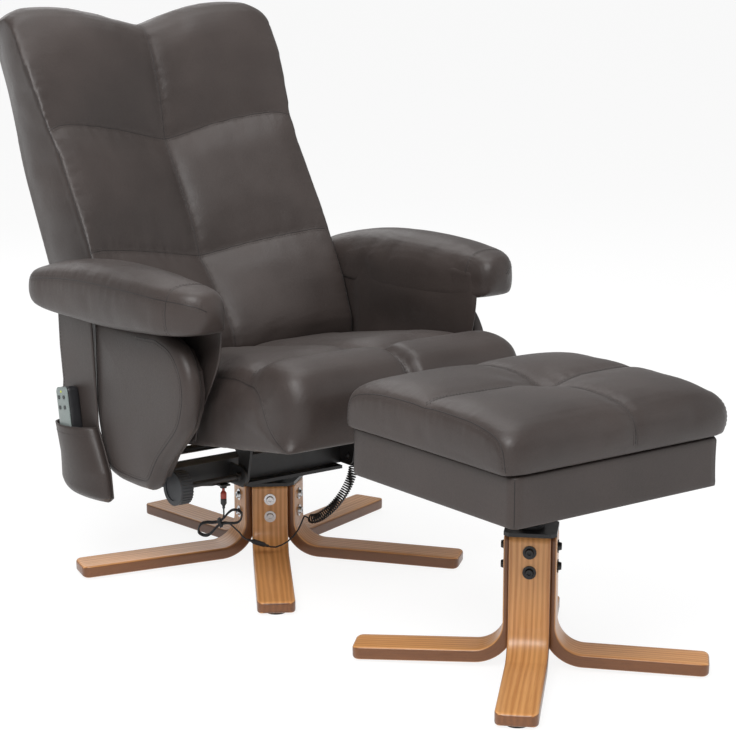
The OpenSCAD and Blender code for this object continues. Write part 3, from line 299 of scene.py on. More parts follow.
def two_skins(name: str, skins: Sequence[Array], place: Placing) -> Piece:
    """A thin form of an outer and an inner grid of points, joined round their rim.

    Args:
        name: piece name.
        skins: the two grids, as arrays of rows, columns and coordinates in local millimetres.
        place: the local frame.

    Returns:
        The object.
    """
    rows, columns = skins[0].shape[:2]
    step = rows * columns
    starts = [k * step + i * columns + j for k in (0, 1) for i in range(rows - 1) for j in range(columns - 1)]
    faces = [(c, c + 1, c + columns + 1, c + columns) for c in starts]
    rim = (list(range(columns)) + [i * columns + columns - 1 for i in range(1, rows)]
           + [(rows - 1) * columns + j for j in reversed(range(columns - 1))]
           + [i * columns for i in reversed(range(1, rows - 1))])
    faces += [(c, d, d + step, c + step) for c, d in zip(rim, rim[1:] + rim[:1])]
    obj = new_piece(name, place.world(np.vstack([skin.reshape(-1, 3) for skin in skins])), faces)
    face_outward(obj)
    return obj


def capped(rings: Array, steps: Sequence[Pair], axis: int) -> Array:
    """Adds end rings drawn towards the middle, so that the ends close softly.

    Args:
        rings: array of rings.
        steps: pairs of share of the end ring's size and swell past it.
        axis: axis along which the rings are stacked.

    Returns:
        The longer array of rings.
    """
    out = list(rings)
    for end, sign in ((0, -1), (-1, 1)):
        base = rings[end]
        middle = base.mean(axis=0)
        way = np.sign((rings[-1] - rings[0]).mean(axis=0)[axis])
        for share, swell in steps:
            ring = middle + (base - middle) * share
            ring[:, axis] = base[:, axis] * share + middle[axis] * (1 - share) + sign * way * swell
            out.insert(0, ring) if end == 0 else out.append(ring)
    return np.array(out)


def with_modifier(obj: Piece, kind: str, **values: object) -> None:
    """Adds a modifier to a piece and applies it to the mesh."""
    mod = obj.modifiers.new(kind.lower(), kind)
    for key, value in values.items():
        setattr(mod, key, value)
    bake_modifiers(obj)


def bake_modifiers(obj: Piece) -> None:
    """Replaces a piece's mesh by the one that its modifiers make."""
    graph = bpy.context.evaluated_depsgraph_get()
    mesh = bpy.data.meshes.new_from_object(obj.evaluated_get(graph))
    old = obj.data
    obj.modifiers.clear()
    obj.data = mesh
    mesh.name = old.name
    bpy.data.meshes.remove(old)


def soften(node: str, width: float, segments: int = 2) -> None:
    """Rounds the sharp edges of a carried-over solid with a bevel modifier."""
    mod = frame["nodes"][node].modifiers.new("edge", "BEVEL")
    mod.width, mod.segments, mod.limit_method = width * MM, segments, "ANGLE"
    mod.angle_limit = radians(BEVEL_ANGLE)


def tube_mesh(points: Array, radius: float, sides: int) -> tuple[Array, list[tuple[int, ...]]]:
    """Vertices and faces of a tube along points, in the points' own unit.

    Args:
        points: its centre line.
        radius: its radius.
        sides: points round it.

    Returns:
        The vertices, and the faces as tuples of vertex numbers.
    """
    p = np.asarray(points, dtype=float)
    t = np.gradient(p, axis=0)
    t /= np.linalg.norm(t, axis=1)[:, None] + TINY
    n = np.cross(t[0], [0.0, 0.0, 1.0])
    if np.linalg.norm(n) < 0.1:
        n = np.cross(t[0], [1.0, 0.0, 0.0])
    verts = []
    for q, d in zip(p, t):
        n = n - d * np.dot(n, d)
        n /= np.linalg.norm(n)
        b = np.cross(d, n)
        for k in range(sides):
            a = 2 * pi * k / sides
            verts.append(q + (n * cos(a) + b * sin(a)) * radius)
    return np.array(verts), ring_faces(len(p), sides)


class Skin:
    """A finished cushion surface that seams are laid on."""

    def __init__(self, obj: Piece) -> None:
        """Reads the surface of a piece."""
        graph = bpy.context.evaluated_depsgraph_get()
        self.tree = BVHTree.FromObject(obj, graph)

    def settle(self, points: Array, reach: float = 0.05) -> tuple[Array, Array]:
        """Nearest surface points and normals for points in metres.

        Args:
            points: points near the surface.
            reach: greatest distance to look.

        Returns:
            The points on the surface and the unit normals there.
        """
        spots, normals = [], []
        for p in points:
            spot, normal, _, _ = self.tree.find_nearest(Vector(p), reach)
            spots.append(spot if spot else Vector(p))
            normals.append(normal if normal else Vector((0, 0, 1)))
        return np.array(spots), np.array(normals)


# Shader nodes

Socket = bpy.types.NodeSocket


class Shelf:
    """Writes nodes into one shader tree."""

    def __init__(self, tree: bpy.types.NodeTree) -> None:
        """Keeps the tree that nodes go into."""
        self.tree = tree

    def put(self, kind: str, inputs: dict | None = None, **options: object) -> bpy.types.Node:
        """Adds a node.

        Args:
            kind: node class without its ShaderNode prefix.
            inputs: socket names or numbers with a value or a socket to join.
            options: node properties.

        Returns:
            The node.
        """
        made = self.tree.nodes.new("ShaderNode" + kind)
        for key, value in options.items():
            setattr(made, key, value)
        self.join(made, inputs or {})
        return made

    def join(self, node: bpy.types.Node, inputs: dict) -> None:
        """Sets a node's inputs, or joins them to other nodes."""
        for key, value in inputs.items():
            if isinstance(value, Socket):
                self.tree.links.new(value, node.inputs[key])
            else:
                node.inputs[key].default_value = value

    def reckon(self, operation: str, first: object, second: object = 0.0) -> Socket:
        """The result of a math node on one or two numbers or sockets."""
        return self.put("Math", {0: first, 1: second}, operation=operation).outputs[0]

    def times(self, first: object, second: object) -> Socket:
        """The product of two numbers or sockets."""
        return self.reckon("MULTIPLY", first, second)

    def plus(self, first: object, second: object) -> Socket:
        """The sum of two numbers or sockets."""
        return self.reckon("ADD", first, second)

    def minus(self, first: object, second: object) -> Socket:
        """The difference of two numbers or sockets."""
        return self.reckon("SUBTRACT", first, second)

    def between(self, share: object, low: object, high: object) -> Socket:
        """A number mixed between two others by a share from zero to one."""
        made = self.put("Mix", {0: share, 2: low, 3: high}, data_type="FLOAT", clamp_factor=True)
        return made.outputs[0]

    def blend(self, share: object, low: object, high: object) -> Socket:
        """A colour mixed between two others by a share from zero to one."""
        made = self.put("Mix", {0: share, 6: low, 7: high}, data_type="RGBA", clamp_factor=True)
        return made.outputs[2]

    def remap(self, value: Socket, low: float, high: float, to_low: float = 0.0, to_high: float = 1.0) -> Socket:
        """A value moved from one range to another, held inside it."""
        made = self.put("MapRange", {0: value, 1: low, 2: high, 3: to_low, 4: to_high}, clamp=True)
        return made.outputs[0]

    def grain(self, where: Socket, scale: object, detail: float = 2.0, rough: float = 0.5) -> Socket:
        """Noise at a scale per metre."""
        return self.put("TexNoise", {"Vector": where, "Scale": scale, "Detail": detail,
                                     "Roughness": rough}).outputs["Fac"]

    def stretched(self, where: Socket, scale: Triple) -> Socket:
        """Coordinates scaled along each axis."""
        return self.put("Mapping", {"Vector": where, "Scale": scale}).outputs[0]


def rgba(colour: Triple) -> tuple[float, float, float, float]:
    """A colour with full alpha."""
    return (*colour, 1.0)


def group_tree(name: str, inputs: dict[str, tuple[str, object]], outputs: dict[str, str]) -> bpy.types.NodeTree:
    """An empty shader group with named sockets.

    Args:
        name: group name.
        inputs: socket name to its type and default.
        outputs: socket name to its type.

    Returns:
        The group's tree, with its input and output nodes.
    """
    tree = bpy.data.node_groups.new(name, "ShaderNodeTree")
    for key, (kind, default) in inputs.items():
        socket = tree.interface.new_socket(key, in_out="INPUT", socket_type="NodeSocket" + kind)
        if default is not None:
            socket.default_value = default
    for key, kind in outputs.items():
        tree.interface.new_socket(key, in_out="OUTPUT", socket_type="NodeSocket" + kind)
    tree.nodes.new("NodeGroupInput")
    tree.nodes.new("NodeGroupOutput")
    return tree


def leather_group() -> bpy.types.NodeTree:
    """Pores, fine creases and uneven tone of smooth bonded leather."""
    tree = group_tree("leather_grain", {"Where": ("Vector", None), "Pores": ("Float", 620.0),
                                        "Creases": ("Float", 0.5)},
                      {"Height": "Float", "Tone": "Float", "Polish": "Float"})
    shelf, given, result = Shelf(tree), tree.nodes[0].outputs, tree.nodes[1]
    bent = shelf.put("TexNoise", {"Vector": given["Where"], "Scale": 160.0, "Detail": 1.0}).outputs["Color"]
    shifted = shelf.put("VectorMath", {0: bent, "Scale": 0.0016}, operation="SCALE").outputs[0]
    where = shelf.put("VectorMath", {0: given["Where"], 1: shifted}, operation="ADD").outputs[0]
    cells = shelf.put("TexVoronoi", {"Vector": where, "Scale": given["Pores"]}, feature="DISTANCE_TO_EDGE")
    pores = shelf.remap(cells.outputs["Distance"], 0.02, 0.22)
    folds = shelf.put("TexNoise", {"Vector": given["Where"], "Scale": 34.0, "Detail": 4.0, "Roughness": 0.62,
                                   "Distortion": 0.7}).outputs["Fac"]
    lines = shelf.reckon("ABSOLUTE", shelf.minus(folds, 0.5))
    crease = shelf.times(shelf.remap(lines, 0.0, 0.05), given["Creases"])
    height = shelf.plus(shelf.times(pores, 0.42), crease)
    broad = shelf.grain(given["Where"], 5.5, 3.0, 0.55)
    tone = shelf.plus(shelf.times(broad, 0.75), shelf.times(pores, 0.22))
    polish = shelf.plus(shelf.times(shelf.grain(given["Where"], 11.0, 2.0), 0.7),
                          shelf.times(shelf.grain(given["Where"], 240.0, 1.0), 0.3))
    shelf.join(result, {"Height": height, "Tone": tone, "Polish": polish})
    return tree


def dust_group() -> bpy.types.NodeTree:
    """A thin uneven film and fine scuffs, for painted, moulded and metal pieces."""
    tree = group_tree("dust_and_scuffs", {"Where": ("Vector", None), "Fine": ("Float", 900.0),
                                          "Scuffs": ("Float", 0.4)},
                      {"Height": "Float", "Film": "Float", "Scuff": "Float"})
    shelf, given, result = Shelf(tree), tree.nodes[0].outputs, tree.nodes[1]
    film = shelf.remap(shelf.grain(given["Where"], 14.0, 4.0, 0.6), 0.42, 0.68)
    long_way = shelf.stretched(given["Where"], (1.0, 0.16, 0.4))
    marks = shelf.remap(shelf.grain(long_way, 420.0, 3.0, 0.7), 0.62, 0.74)
    scuff = shelf.times(marks, given["Scuffs"])
    height = shelf.grain(given["Where"], given["Fine"], 2.0)
    shelf.join(result, {"Height": height, "Film": film, "Scuff": scuff})
    return tree


def wood_group() -> bpy.types.NodeTree:
    """Growth lines, pores and laminations of bent wood, from coordinates along, across and through it."""
    tree = group_tree("bent_wood", {"Along": ("Vector", None), "Cut": ("Float", 0.0)},
                      {"Tone": "Float", "Layers": "Float", "Height": "Float"})
    shelf, given, result = Shelf(tree), tree.nodes[0].outputs, tree.nodes[1]
    drawn = shelf.stretched(given["Along"], (2.2, 120.0, 36.0))
    lines = shelf.put("TexNoise", {"Vector": drawn, "Scale": 1.0, "Detail": 5.0, "Roughness": 0.68,
                                   "Distortion": 0.35}).outputs["Fac"]
    pores = shelf.remap(shelf.grain(shelf.stretched(given["Along"], (26.0, 1500.0, 400.0)), 1.0, 2.0), 0.56, 0.72)
    flame = shelf.put("TexWave", {"Vector": shelf.stretched(given["Along"], (3.0, 34.0, 18.0)), "Scale": 1.0,
                                  "Distortion": 7.0, "Detail": 2.0, "Detail Scale": 0.8},
                      wave_type="BANDS", bands_direction="Y").outputs["Fac"]
    mixed = shelf.plus(shelf.times(lines, 0.8), shelf.times(flame, 0.28))
    tone = shelf.minus(mixed, shelf.times(pores, 0.22))
    layer = shelf.put("TexWave", {"Vector": shelf.stretched(given["Along"], (0.6, 0.0, 210.0)), "Scale": 1.0,
                                  "Distortion": 0.6, "Detail": 2.0, "Detail Scale": 3.0},
                      wave_type="BANDS", bands_direction="Z").outputs["Fac"]
    layers = shelf.times(shelf.remap(layer, 0.05, 0.95), given["Cut"])
    height = shelf.minus(shelf.times(lines, 0.4), shelf.times(pores, 0.6))
    shelf.join(result, {"Tone": tone, "Layers": layers, "Height": height})
    return tree


GROUPS: dict[str, bpy.types.NodeTree] = {}


def effect(shelf: Shelf, name: str, build: Callable[[], bpy.types.NodeTree], inputs: dict) -> bpy.types.Node:
    """Places a shared effect in a material, made once.

    Args:
        shelf: the material's shelf.
        name: key of the effect.
        build: function that makes its group.
        inputs: values or sockets for the group.

    Returns:
        The group node.
    """
    if name not in GROUPS:
        GROUPS[name] = build()
    made = shelf.tree.nodes.new("ShaderNodeGroup")
    made.node_tree = GROUPS[name]
    shelf.join(made, inputs)
    return made


def fresh_material(name: str) -> tuple[bpy.types.Material, Shelf, bpy.types.Node]:
    """A new material with its shelf and its Principled shader."""
    made = bpy.data.materials.new(name)
    made.use_nodes = True
    shelf = Shelf(made.node_tree)
    return made, shelf, made.node_tree.nodes["Principled BSDF"]


def object_place(shelf: Shelf) -> Socket:
    """Coordinates fixed to the piece, in metres."""
    return shelf.put("TexCoord").outputs["Object"]


def raise_surface(shelf: Shelf, shader: bpy.types.Node, height: Socket, strength: float, depth: float) -> None:
    """Feeds a height into a shader's normal."""
    bump = shelf.put("Bump", {"Height": height, "Strength": strength, "Distance": depth})
    shelf.tree.links.new(bump.outputs[0], shader.inputs["Normal"])


@dataclass(frozen=True)
class LeatherFinish:
    """Smooth bonded leather with fine pores."""

    name: str
    dark: Triple = (0.031, 0.0232, 0.0208)
    light: Triple = (0.061, 0.0468, 0.0422)
    roughness: Pair = (0.36, 0.5)
    pores: float = 620.0
    creases: float = 0.5
    relief: float = 0.2
    shine: float = 0.42
    sheen: float = 0.06

    def material(self) -> bpy.types.Material:
        """The leather as a material."""
        made, shelf, shader = fresh_material(self.name)
        where = object_place(shelf)
        hide = effect(shelf, "leather", leather_group,
                      {"Where": where, "Pores": self.pores, "Creases": self.creases})
        colour = shelf.blend(shelf.remap(hide.outputs["Tone"], 0.25, 0.75), rgba(self.dark), rgba(self.light))
        rough = shelf.remap(hide.outputs["Polish"], 0.3, 0.7, *self.roughness)
        shelf.join(shader, {"Base Color": colour, "Roughness": rough, "Specular IOR Level": self.shine,
                            "Sheen Weight": self.sheen, "Sheen Roughness": 0.4})
        raise_surface(shelf, shader, hide.outputs["Height"], self.relief, 0.0006)
        return made


@dataclass(frozen=True)
class HardFinish:
    """Painted metal, bare metal, rubber or moulded plastic."""

    name: str
    colour: Triple
    worn: Triple
    roughness: Pair = (0.35, 0.55)
    metallic: float = 0.0
    fine: float = 900.0
    scuffs: float = 0.4
    relief: float = 0.12
    lower: Triple | None = None

    def material(self) -> bpy.types.Material:
        """The finish as a material."""
        made, shelf, shader = fresh_material(self.name)
        film = effect(shelf, "dust", dust_group,
                      {"Where": object_place(shelf), "Fine": self.fine, "Scuffs": self.scuffs})
        share = shelf.plus(shelf.times(film.outputs["Film"], 0.35), film.outputs["Scuff"])
        colour = shelf.blend(share, rgba(self.colour), rgba(self.worn))
        if self.lower is not None:
            up = shelf.put("SeparateXYZ", {0: shelf.put("TexCoord").outputs["Generated"]}).outputs[2]
            colour = shelf.blend(shelf.remap(up, 0.47, 0.5), rgba(self.lower), colour)
        rough = shelf.between(film.outputs["Film"], *self.roughness)
        shelf.join(shader, {"Base Color": colour, "Roughness": rough, "Metallic": self.metallic})
        raise_surface(shelf, shader, film.outputs["Height"], self.relief, 0.0003)
        return made


@dataclass(frozen=True)
class WoodFinish:
    """Clear-lacquered bent wood that shows its layers where it is cut."""

    name: str
    pale: Triple = (0.76, 0.385, 0.145)
    deep: Triple = (0.5, 0.205, 0.06)
    edge_pale: Triple = (0.3, 0.115, 0.036)
    edge_deep: Triple = (0.085, 0.028, 0.009)
    roughness: Pair = (0.42, 0.32)
    lacquer: float = 0.25

    def material(self) -> bpy.types.Material:
        """The wood as a material that reads the pieces' grain attributes."""
        made, shelf, shader = fresh_material(self.name)
        along = shelf.put("Attribute", attribute_name="grain", attribute_type="GEOMETRY").outputs["Vector"]
        cut = shelf.put("Attribute", attribute_name="cut", attribute_type="GEOMETRY").outputs["Fac"]
        wood = effect(shelf, "wood", wood_group, {"Along": along, "Cut": cut})
        tone = shelf.remap(wood.outputs["Tone"], 0.28, 0.78)
        face = shelf.blend(tone, rgba(self.deep), rgba(self.pale))
        side = shelf.blend(shelf.between(0.72, tone, wood.outputs["Layers"]), rgba(self.edge_deep),
                           rgba(self.edge_pale))
        shelf.join(shader, {"Base Color": shelf.blend(cut, face, side),
                            "Roughness": shelf.between(tone, *self.roughness),
                            "Coat Weight": self.lacquer, "Coat Roughness": 0.22})
        raise_surface(shelf, shader, wood.outputs["Height"], 0.1, 0.0004)
        return made


@dataclass(frozen=True)
class BoardFinish:
    """Plain plywood of the hidden boards."""

    name: str
    pale: Triple = (0.56, 0.42, 0.26)
    deep: Triple = (0.4, 0.27, 0.15)

    def material(self) -> bpy.types.Material:
        """The plywood as a material."""
        made, shelf, shader = fresh_material(self.name)
        where = object_place(shelf)
        drawn = shelf.stretched(where, (60.0, 3.0, 60.0))
        lines = shelf.put("TexNoise", {"Vector": drawn, "Scale": 1.0, "Detail": 4.0}).outputs["Fac"]
        colour = shelf.blend(shelf.remap(lines, 0.35, 0.65), rgba(self.deep), rgba(self.pale))
        shelf.join(shader, {"Base Color": colour, "Roughness": shelf.between(lines, 0.7, 0.55)})
        raise_surface(shelf, shader, lines, 0.2, 0.0005)
        return made


@dataclass(frozen=True)
class ClothFinish:
    """Dull woven lining and backing cloth."""

    name: str
    dark: Triple = (0.012, 0.012, 0.013)
    light: Triple = (0.04, 0.04, 0.042)
    threads: float = 1400.0

    def material(self) -> bpy.types.Material:
        """The cloth as a material with a plain weave."""
        made, shelf, shader = fresh_material(self.name)
        split = shelf.put("SeparateXYZ", {0: object_place(shelf)}).outputs
        waves = [shelf.reckon("SINE", shelf.times(split[k], self.threads * pi)) for k in range(3)]
        weave = shelf.times(shelf.plus(waves[0], waves[2]), waves[1])
        share = shelf.remap(weave, -1.5, 1.5)
        shelf.join(shader, {"Base Color": shelf.blend(share, rgba(self.dark), rgba(self.light)),
                            "Roughness": shelf.between(share, 0.9, 0.78)})
        raise_surface(shelf, shader, share, 0.3, 0.0003)
        return made


def hard(name: str, *tones: Triple | Pair, **more: object) -> bpy.types.Material:
    """A hard finish as a material."""
    return HardFinish(name, *tones, **more).material()


class Finishes:
    """Every material of the set, made once."""

    def __init__(self) -> None:
        """Builds the materials."""
        self.leather = LeatherFinish("taupe_leather").material()
        # The seam leather is under half the cover's tone: painted shade of the seam grooves, laid on the real sunk
        # folds.
        self.seam = LeatherFinish("seam_fold_painted_shade", dark=(0.012, 0.0095, 0.0088), light=(0.024, 0.019, 0.018),
                                  relief=0.1).material()
        self.thread = hard("sewing_thread", (0.045, 0.037, 0.034), (0.09, 0.075, 0.07), (0.6, 0.75), scuffs=0.1)
        self.wood = WoodFinish("bent_ash").material()
        self.board = BoardFinish("plywood").material()
        self.lining = ClothFinish("black_lining").material()
        self.black_steel = hard("black_paint", (0.014, 0.014, 0.015), (0.06, 0.06, 0.062), (0.32, 0.5),
                                metallic=0.2, relief=0.2)
        self.bright_steel = hard("zinc_steel", (0.62, 0.63, 0.65), (0.42, 0.42, 0.43), (0.22, 0.38),
                                 metallic=1.0, scuffs=0.6)
        self.rubber = hard("black_rubber", (0.011, 0.011, 0.012), (0.035, 0.035, 0.036), (0.5, 0.68))
        self.black_plastic = hard("black_plastic", (0.016, 0.016, 0.018), (0.05, 0.05, 0.053), (0.38, 0.52))
        self.knob = hard("knob_plastic", (0.03, 0.032, 0.036), (0.07, 0.073, 0.08), (0.5, 0.62))
        self.grey_plastic = hard("grey_plastic", (0.23, 0.27, 0.26), (0.32, 0.36, 0.35), (0.34, 0.48))
        self.keys = hard("key_rubber", (0.045, 0.05, 0.05), (0.09, 0.1, 0.1), (0.5, 0.65))
        self.lamp = hard("lamp_lens", (0.45, 0.5, 0.06), (0.6, 0.62, 0.2), (0.2, 0.3))
        self.red_plastic = hard("red_plastic", (0.36, 0.045, 0.03), (0.5, 0.1, 0.08), (0.3, 0.45),
                                lower=(0.014, 0.014, 0.015))


def wear(obj: Piece, material: bpy.types.Material) -> None:
    """Gives a piece or a carried-over node one material."""
    obj.data.materials.clear()
    obj.data.materials.append(material)


def settle(obj: Piece, body: Body, material: bpy.types.Material,
           stands_for: Sequence[str] = ()) -> Piece:
    """Finishes a piece: its material, body and the nodes that it stands for.

    Args:
        obj: the piece.
        body: the body that it rides on.
        material: its material.
        stands_for: CAD nodes that it replaces.

    Returns:
        The piece.
    """
    wear(obj, material)
    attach(obj, body.value)
    if stands_for:
        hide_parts(*stands_for)
    log.info("%s rides on %s", obj.name, body.value)
    return obj


# Sewing and filling

def mesh_points(obj: Piece) -> Array:
    """Vertices of a piece as an array."""
    out = np.empty(len(obj.data.vertices) * 3)
    obj.data.vertices.foreach_get("co", out)
    return out.reshape(-1, 3)


def line_tree(line: Array) -> KDTree:
    """Search tree of a line's samples."""
    tree = KDTree(len(line))
    for k, p in enumerate(line):
        tree.insert(Vector(p), k)
    tree.balance()
    return tree


def near_line(points: Array, line: Array) -> Array:
    """Distance of each point from the nearest of a line's samples."""
    tree = line_tree(line)
    return np.array([tree.find(Vector(p))[2] for p in points])


@dataclass
class Stitching:
    """Sewn seams: a sunk fold, whose darker leather is painted shade of the seam's groove, and a row of stitches on
    each side of it.
    """

    finishes: Finishes
    fold_r: float = 0.9
    fold_sink: float = 0.35
    fold_sides: int = 6
    fold_step: float = 4.0
    stitch_r: float = 0.42
    stitch_l: float = 4.2
    stitch_sides: int = 5
    stitch_sink: float = 0.3
    stitch_rise: float = 0.12
    stitch_flat: float = 0.55
    gap: float = 2.0
    offset: float = 4.5
    reach: float = 10.0

    def seam(self, name: str, skin: Skin, line: Array, body: Body, rows: Sequence[float] = (-1.0, 1.0),
             fold: bool = True) -> None:
        """Lays a seam along a line near a skin.

        Args:
            name: name of the seam's pieces.
            skin: surface that it lies on.
            line: points in metres.
            body: body that it rides on.
            rows: stitch rows, as sides of the fold.
            fold: whether the sunk fold is made.
        """
        spots, normals = skin.settle(even_line(line, self.fold_step * MM))
        if fold:
            self.fold(name, spots, normals, body)
        if rows:
            self.stitches(name, skin, spots, body, rows)

    def fold(self, name: str, spots: Array, normals: Array, body: Body) -> None:
        """Makes the sunk fold of a seam, in the darker seam leather that stands for the shade in its groove."""
        calm = np.concatenate([spots[:1], (spots[:-2] + 2 * spots[1:-1] + spots[2:]) / 4, spots[-1:]])
        sunk = calm - normals * self.fold_r * self.fold_sink * MM
        verts, faces = tube_mesh(sunk, self.fold_r * MM, self.fold_sides)
        # the fold's dark leather is painted shade of the seam groove
        settle(new_piece(name + "_fold", verts, faces), body, self.finishes.seam)

    def stitches(self, name: str, skin: Skin, spots: Array, body: Body, rows: Sequence[float]) -> None:
        """Makes the stitches of a seam as one piece.

        Args:
            name: name of the seam.
            skin: surface that it lies on.
            spots: points of the seam on the skin, in metres.
            body: body that it rides on.
            rows: stitch rows, as sides of the fold.
        """
        verts_all: list[Array] = []
        faces_all: list[tuple[int, ...]] = []
        near, outward = skin.settle(even_line(spots, (self.stitch_l + self.gap) * MM))
        way = np.gradient(near, axis=0)
        way /= np.linalg.norm(way, axis=1)[:, None] + TINY
        across = np.cross(outward, way)
        for row in rows:
            centres, lifted = skin.settle(near + across * row * self.offset * MM, self.reach * MM)
            for centre, up, direction in zip(centres[1:-1], lifted[1:-1], way[1:-1]):
                half = direction * self.stitch_l * 0.5 * MM
                flat = half * self.stitch_flat
                sunk, raised = up * self.stitch_sink * MM, up * self.stitch_rise * MM
                ends = [centre - half - sunk, centre - flat + raised, centre + flat + raised, centre + half - sunk]
                verts, faces = tube_mesh(np.array(ends), self.stitch_r * MM, self.stitch_sides)
                faces_all += [tuple(k + len(verts_all) * len(verts) for k in f) for f in faces]
                verts_all.append(verts)
        if verts_all:
            piece = new_piece(name + "_stitches", np.vstack(verts_all), faces_all)
            settle(piece, body, self.finishes.thread)


@dataclass(frozen=True)
class Plumping:
    """Settings of the cloth run that fills a cushion."""

    voxel: float = 5.0
    pressure: float = 4.0
    frames: int = 18
    cap: float = 14.0
    slack: float = 0.006
    calm: int = 14
    quality: int = 4
    mass: float = 0.25
    stiffness: float = 24.0
    bending: float = 5.0
    seam_hold: float = 7.0
    pucker: float = 0.9
    pucker_gain: float = 2.2
    pucker_reach: float = 17.0
    pucker_start: float = 2.5
    pucker_pitch: float = 9.0
    pucker_drift: float = 0.012
    pucker_seed: float = 3.7

    def calmed(self, obj: Piece, step: Array) -> Array:
        """Evens out a field of moves between neighbouring vertices."""
        ends = np.empty(len(obj.data.edges) * 2, dtype=int)
        obj.data.edges.foreach_get("vertices", ends)
        first, second = ends.reshape(-1, 2).T
        count = np.bincount(ends, minlength=len(step))[:, None] + 1e-9
        for _ in range(self.calm):
            total = np.stack([np.bincount(first, step[second, k], len(step))
                              + np.bincount(second, step[first, k], len(step)) for k in range(3)], axis=1)
            step = 0.5 * step + 0.5 * total / count
        return step

    def puckers(self, obj: Piece, points: Array, lines: Array) -> Array:
        """Fine gathers that run off the seams, as moves along the surface's normals.

        Args:
            obj: the piece.
            points: its vertices in metres.
            lines: samples of its seams, in metres.

        Returns:
            A move for each vertex.
        """
        tree = line_tree(lines)
        found = [tree.find(Vector(q)) for q in points]
        away = np.array([f[2] for f in found]) / MM
        along = np.array([f[1] for f in found]) * SEAM_STEP / self.pucker_pitch
        wave = np.array([noise.noise(Vector((a, d * self.pucker_drift, self.pucker_seed)))
                         for a, d in zip(along, away)])
        fade = np.exp(-(away / self.pucker_reach) ** 1.5) * (1 - np.exp(-(away / self.pucker_start) ** 2))
        normals = np.empty(len(points) * 3)
        obj.data.vertices.foreach_get("normal", normals)
        return normals.reshape(-1, 3) * (wave * fade * self.pucker * self.pucker_gain * MM)[:, None]

    def swollen(self, obj: Piece, held: Array) -> Array:
        """Runs the cover as cloth under pressure, held where it is told, and gives its vertices after the run."""
        group = obj.vertex_groups.new(name="held")
        levels = np.round(held, 2)
        for level in np.unique(levels):
            if level > 0:
                group.add([int(k) for k in np.nonzero(levels == level)[0]], float(level), "REPLACE")
        cloth = obj.modifiers.new("cover", "CLOTH")
        rules = cloth.settings
        rules.quality = self.quality
        rules.mass = self.mass
        rules.tension_stiffness = rules.compression_stiffness = rules.shear_stiffness = self.stiffness
        rules.bending_stiffness = self.bending
        rules.use_pressure = True
        rules.uniform_pressure_force = self.pressure
        rules.shrink_min = -self.slack
        rules.vertex_group_mass = "held"
        rules.pin_stiffness = 1.0
        rules.effector_weights.gravity = 0.0
        cloth.collision_settings.use_collision = False
        scene = bpy.context.scene
        cloth.point_cache.frame_start, cloth.point_cache.frame_end = 1, self.frames
        for step in range(1, self.frames + 1):
            scene.frame_set(step)
        graph = bpy.context.evaluated_depsgraph_get()
        shape = obj.evaluated_get(graph).to_mesh()
        moved = np.empty(len(shape.vertices) * 3)
        shape.vertices.foreach_get("co", moved)
        obj.evaluated_get(graph).to_mesh_clear()
        obj.modifiers.clear()
        scene.frame_set(1)
        return moved.reshape(-1, 3)

    def run(self, obj: Piece, lines: Array, hold: Callable[[Array], Array]) -> None:
        """Remeshes a piece, lets its cover swell between held places and keeps the result.

        Args:
            obj: the piece, in metres.
            lines: samples of its seams, in metres, along which it is held.
            hold: gives for points in metres how firmly each is held away from the seams, from 0 to 1.
        """
        with_modifier(obj, "REMESH", mode="VOXEL", voxel_size=self.voxel * MM, use_smooth_shade=True)
        start = mesh_points(obj)
        sewn = np.exp(-(near_line(start, lines) / (self.seam_hold * MM)) ** 2)
        held = np.clip(np.maximum(sewn, hold(start)), 0.0, 1.0)
        free = (1 - held)[:, None]
        step = self.swollen(obj, held) - start
        far = np.linalg.norm(step, axis=1)[:, None] + TINY
        moved = start + self.calmed(obj, step * np.minimum(1.0, self.cap * MM / far) * free)
        obj.data.vertices.foreach_set("co", moved.ravel())
        obj.data.update()
        moved += self.puckers(obj, moved, lines) * free
        obj.data.vertices.foreach_set("co", moved.ravel())
        obj.data.update()
        obj.vertex_groups.clear()
        with_modifier(obj, "SUBSURF", levels=1, render_levels=1)


@dataclass(frozen=True)
class Seam:
    """A sewn line in metres, with its stitch rows as sides of the fold."""

    line: Array
    rows: tuple[float, ...] = (-1.0, 1.0)


@dataclass(frozen=True)
class Bed:
    """The flat side that a cushion lies on, which holds the cover near it."""

    place: Placing
    level: float
    depth: float = 14.0
    firm: float = 1.4

    def hold(self, points: Array) -> Array:
        """How firmly points in metres are held, from 0 to 1."""
        foot, head = self.place.world(np.array([[0.0, 0.0, self.level], [0.0, 0.0, self.level + 1]]))
        up = (head - foot) / np.linalg.norm(head - foot)
        return np.clip(self.firm - ((points - foot) @ up) / (self.depth * MM), 0, 1)


@dataclass
class SewnPart:
    """What every sewn sub-assembly shares: its finishes and its way of sewing."""

    finishes: Finishes
    stitching: Stitching

    def cover_in_leather(self, obj: Piece, body: Body, nodes: Sequence[str], fill: float | None = None) -> None:
        """Dresses a piece in leather."""
        settle(obj, body, self.finishes.leather, nodes)

    def fill(self, cushion: Piece, body: Body, node: str, stuffing: float, seams: dict[str, Seam],
             plumping: Plumping, hold: Callable[[Array], Array]) -> None:
        """Fills a cushion, dresses it in leather and sews its seams.

        Args:
            cushion: the piece.
            body: body that it rides on.
            node: CAD node that it replaces.
            stuffing: how tightly it is stuffed; passed on but not used.
            seams: seam names and seams.
            plumping: settings of its filling.
            hold: gives for points in metres how firmly each is held away from the seams.
        """
        lines = np.vstack([even_line(seam.line, SEAM_STEP * MM) for seam in seams.values()])
        plumping.run(cushion, lines, hold)
        self.cover_in_leather(cushion, body, [node], fill=stuffing)
        skin = Skin(cushion)
        for name, seam in seams.items():
            self.stitching.seam(name, skin, seam.line, body, seam.rows)


# Sub-assemblies

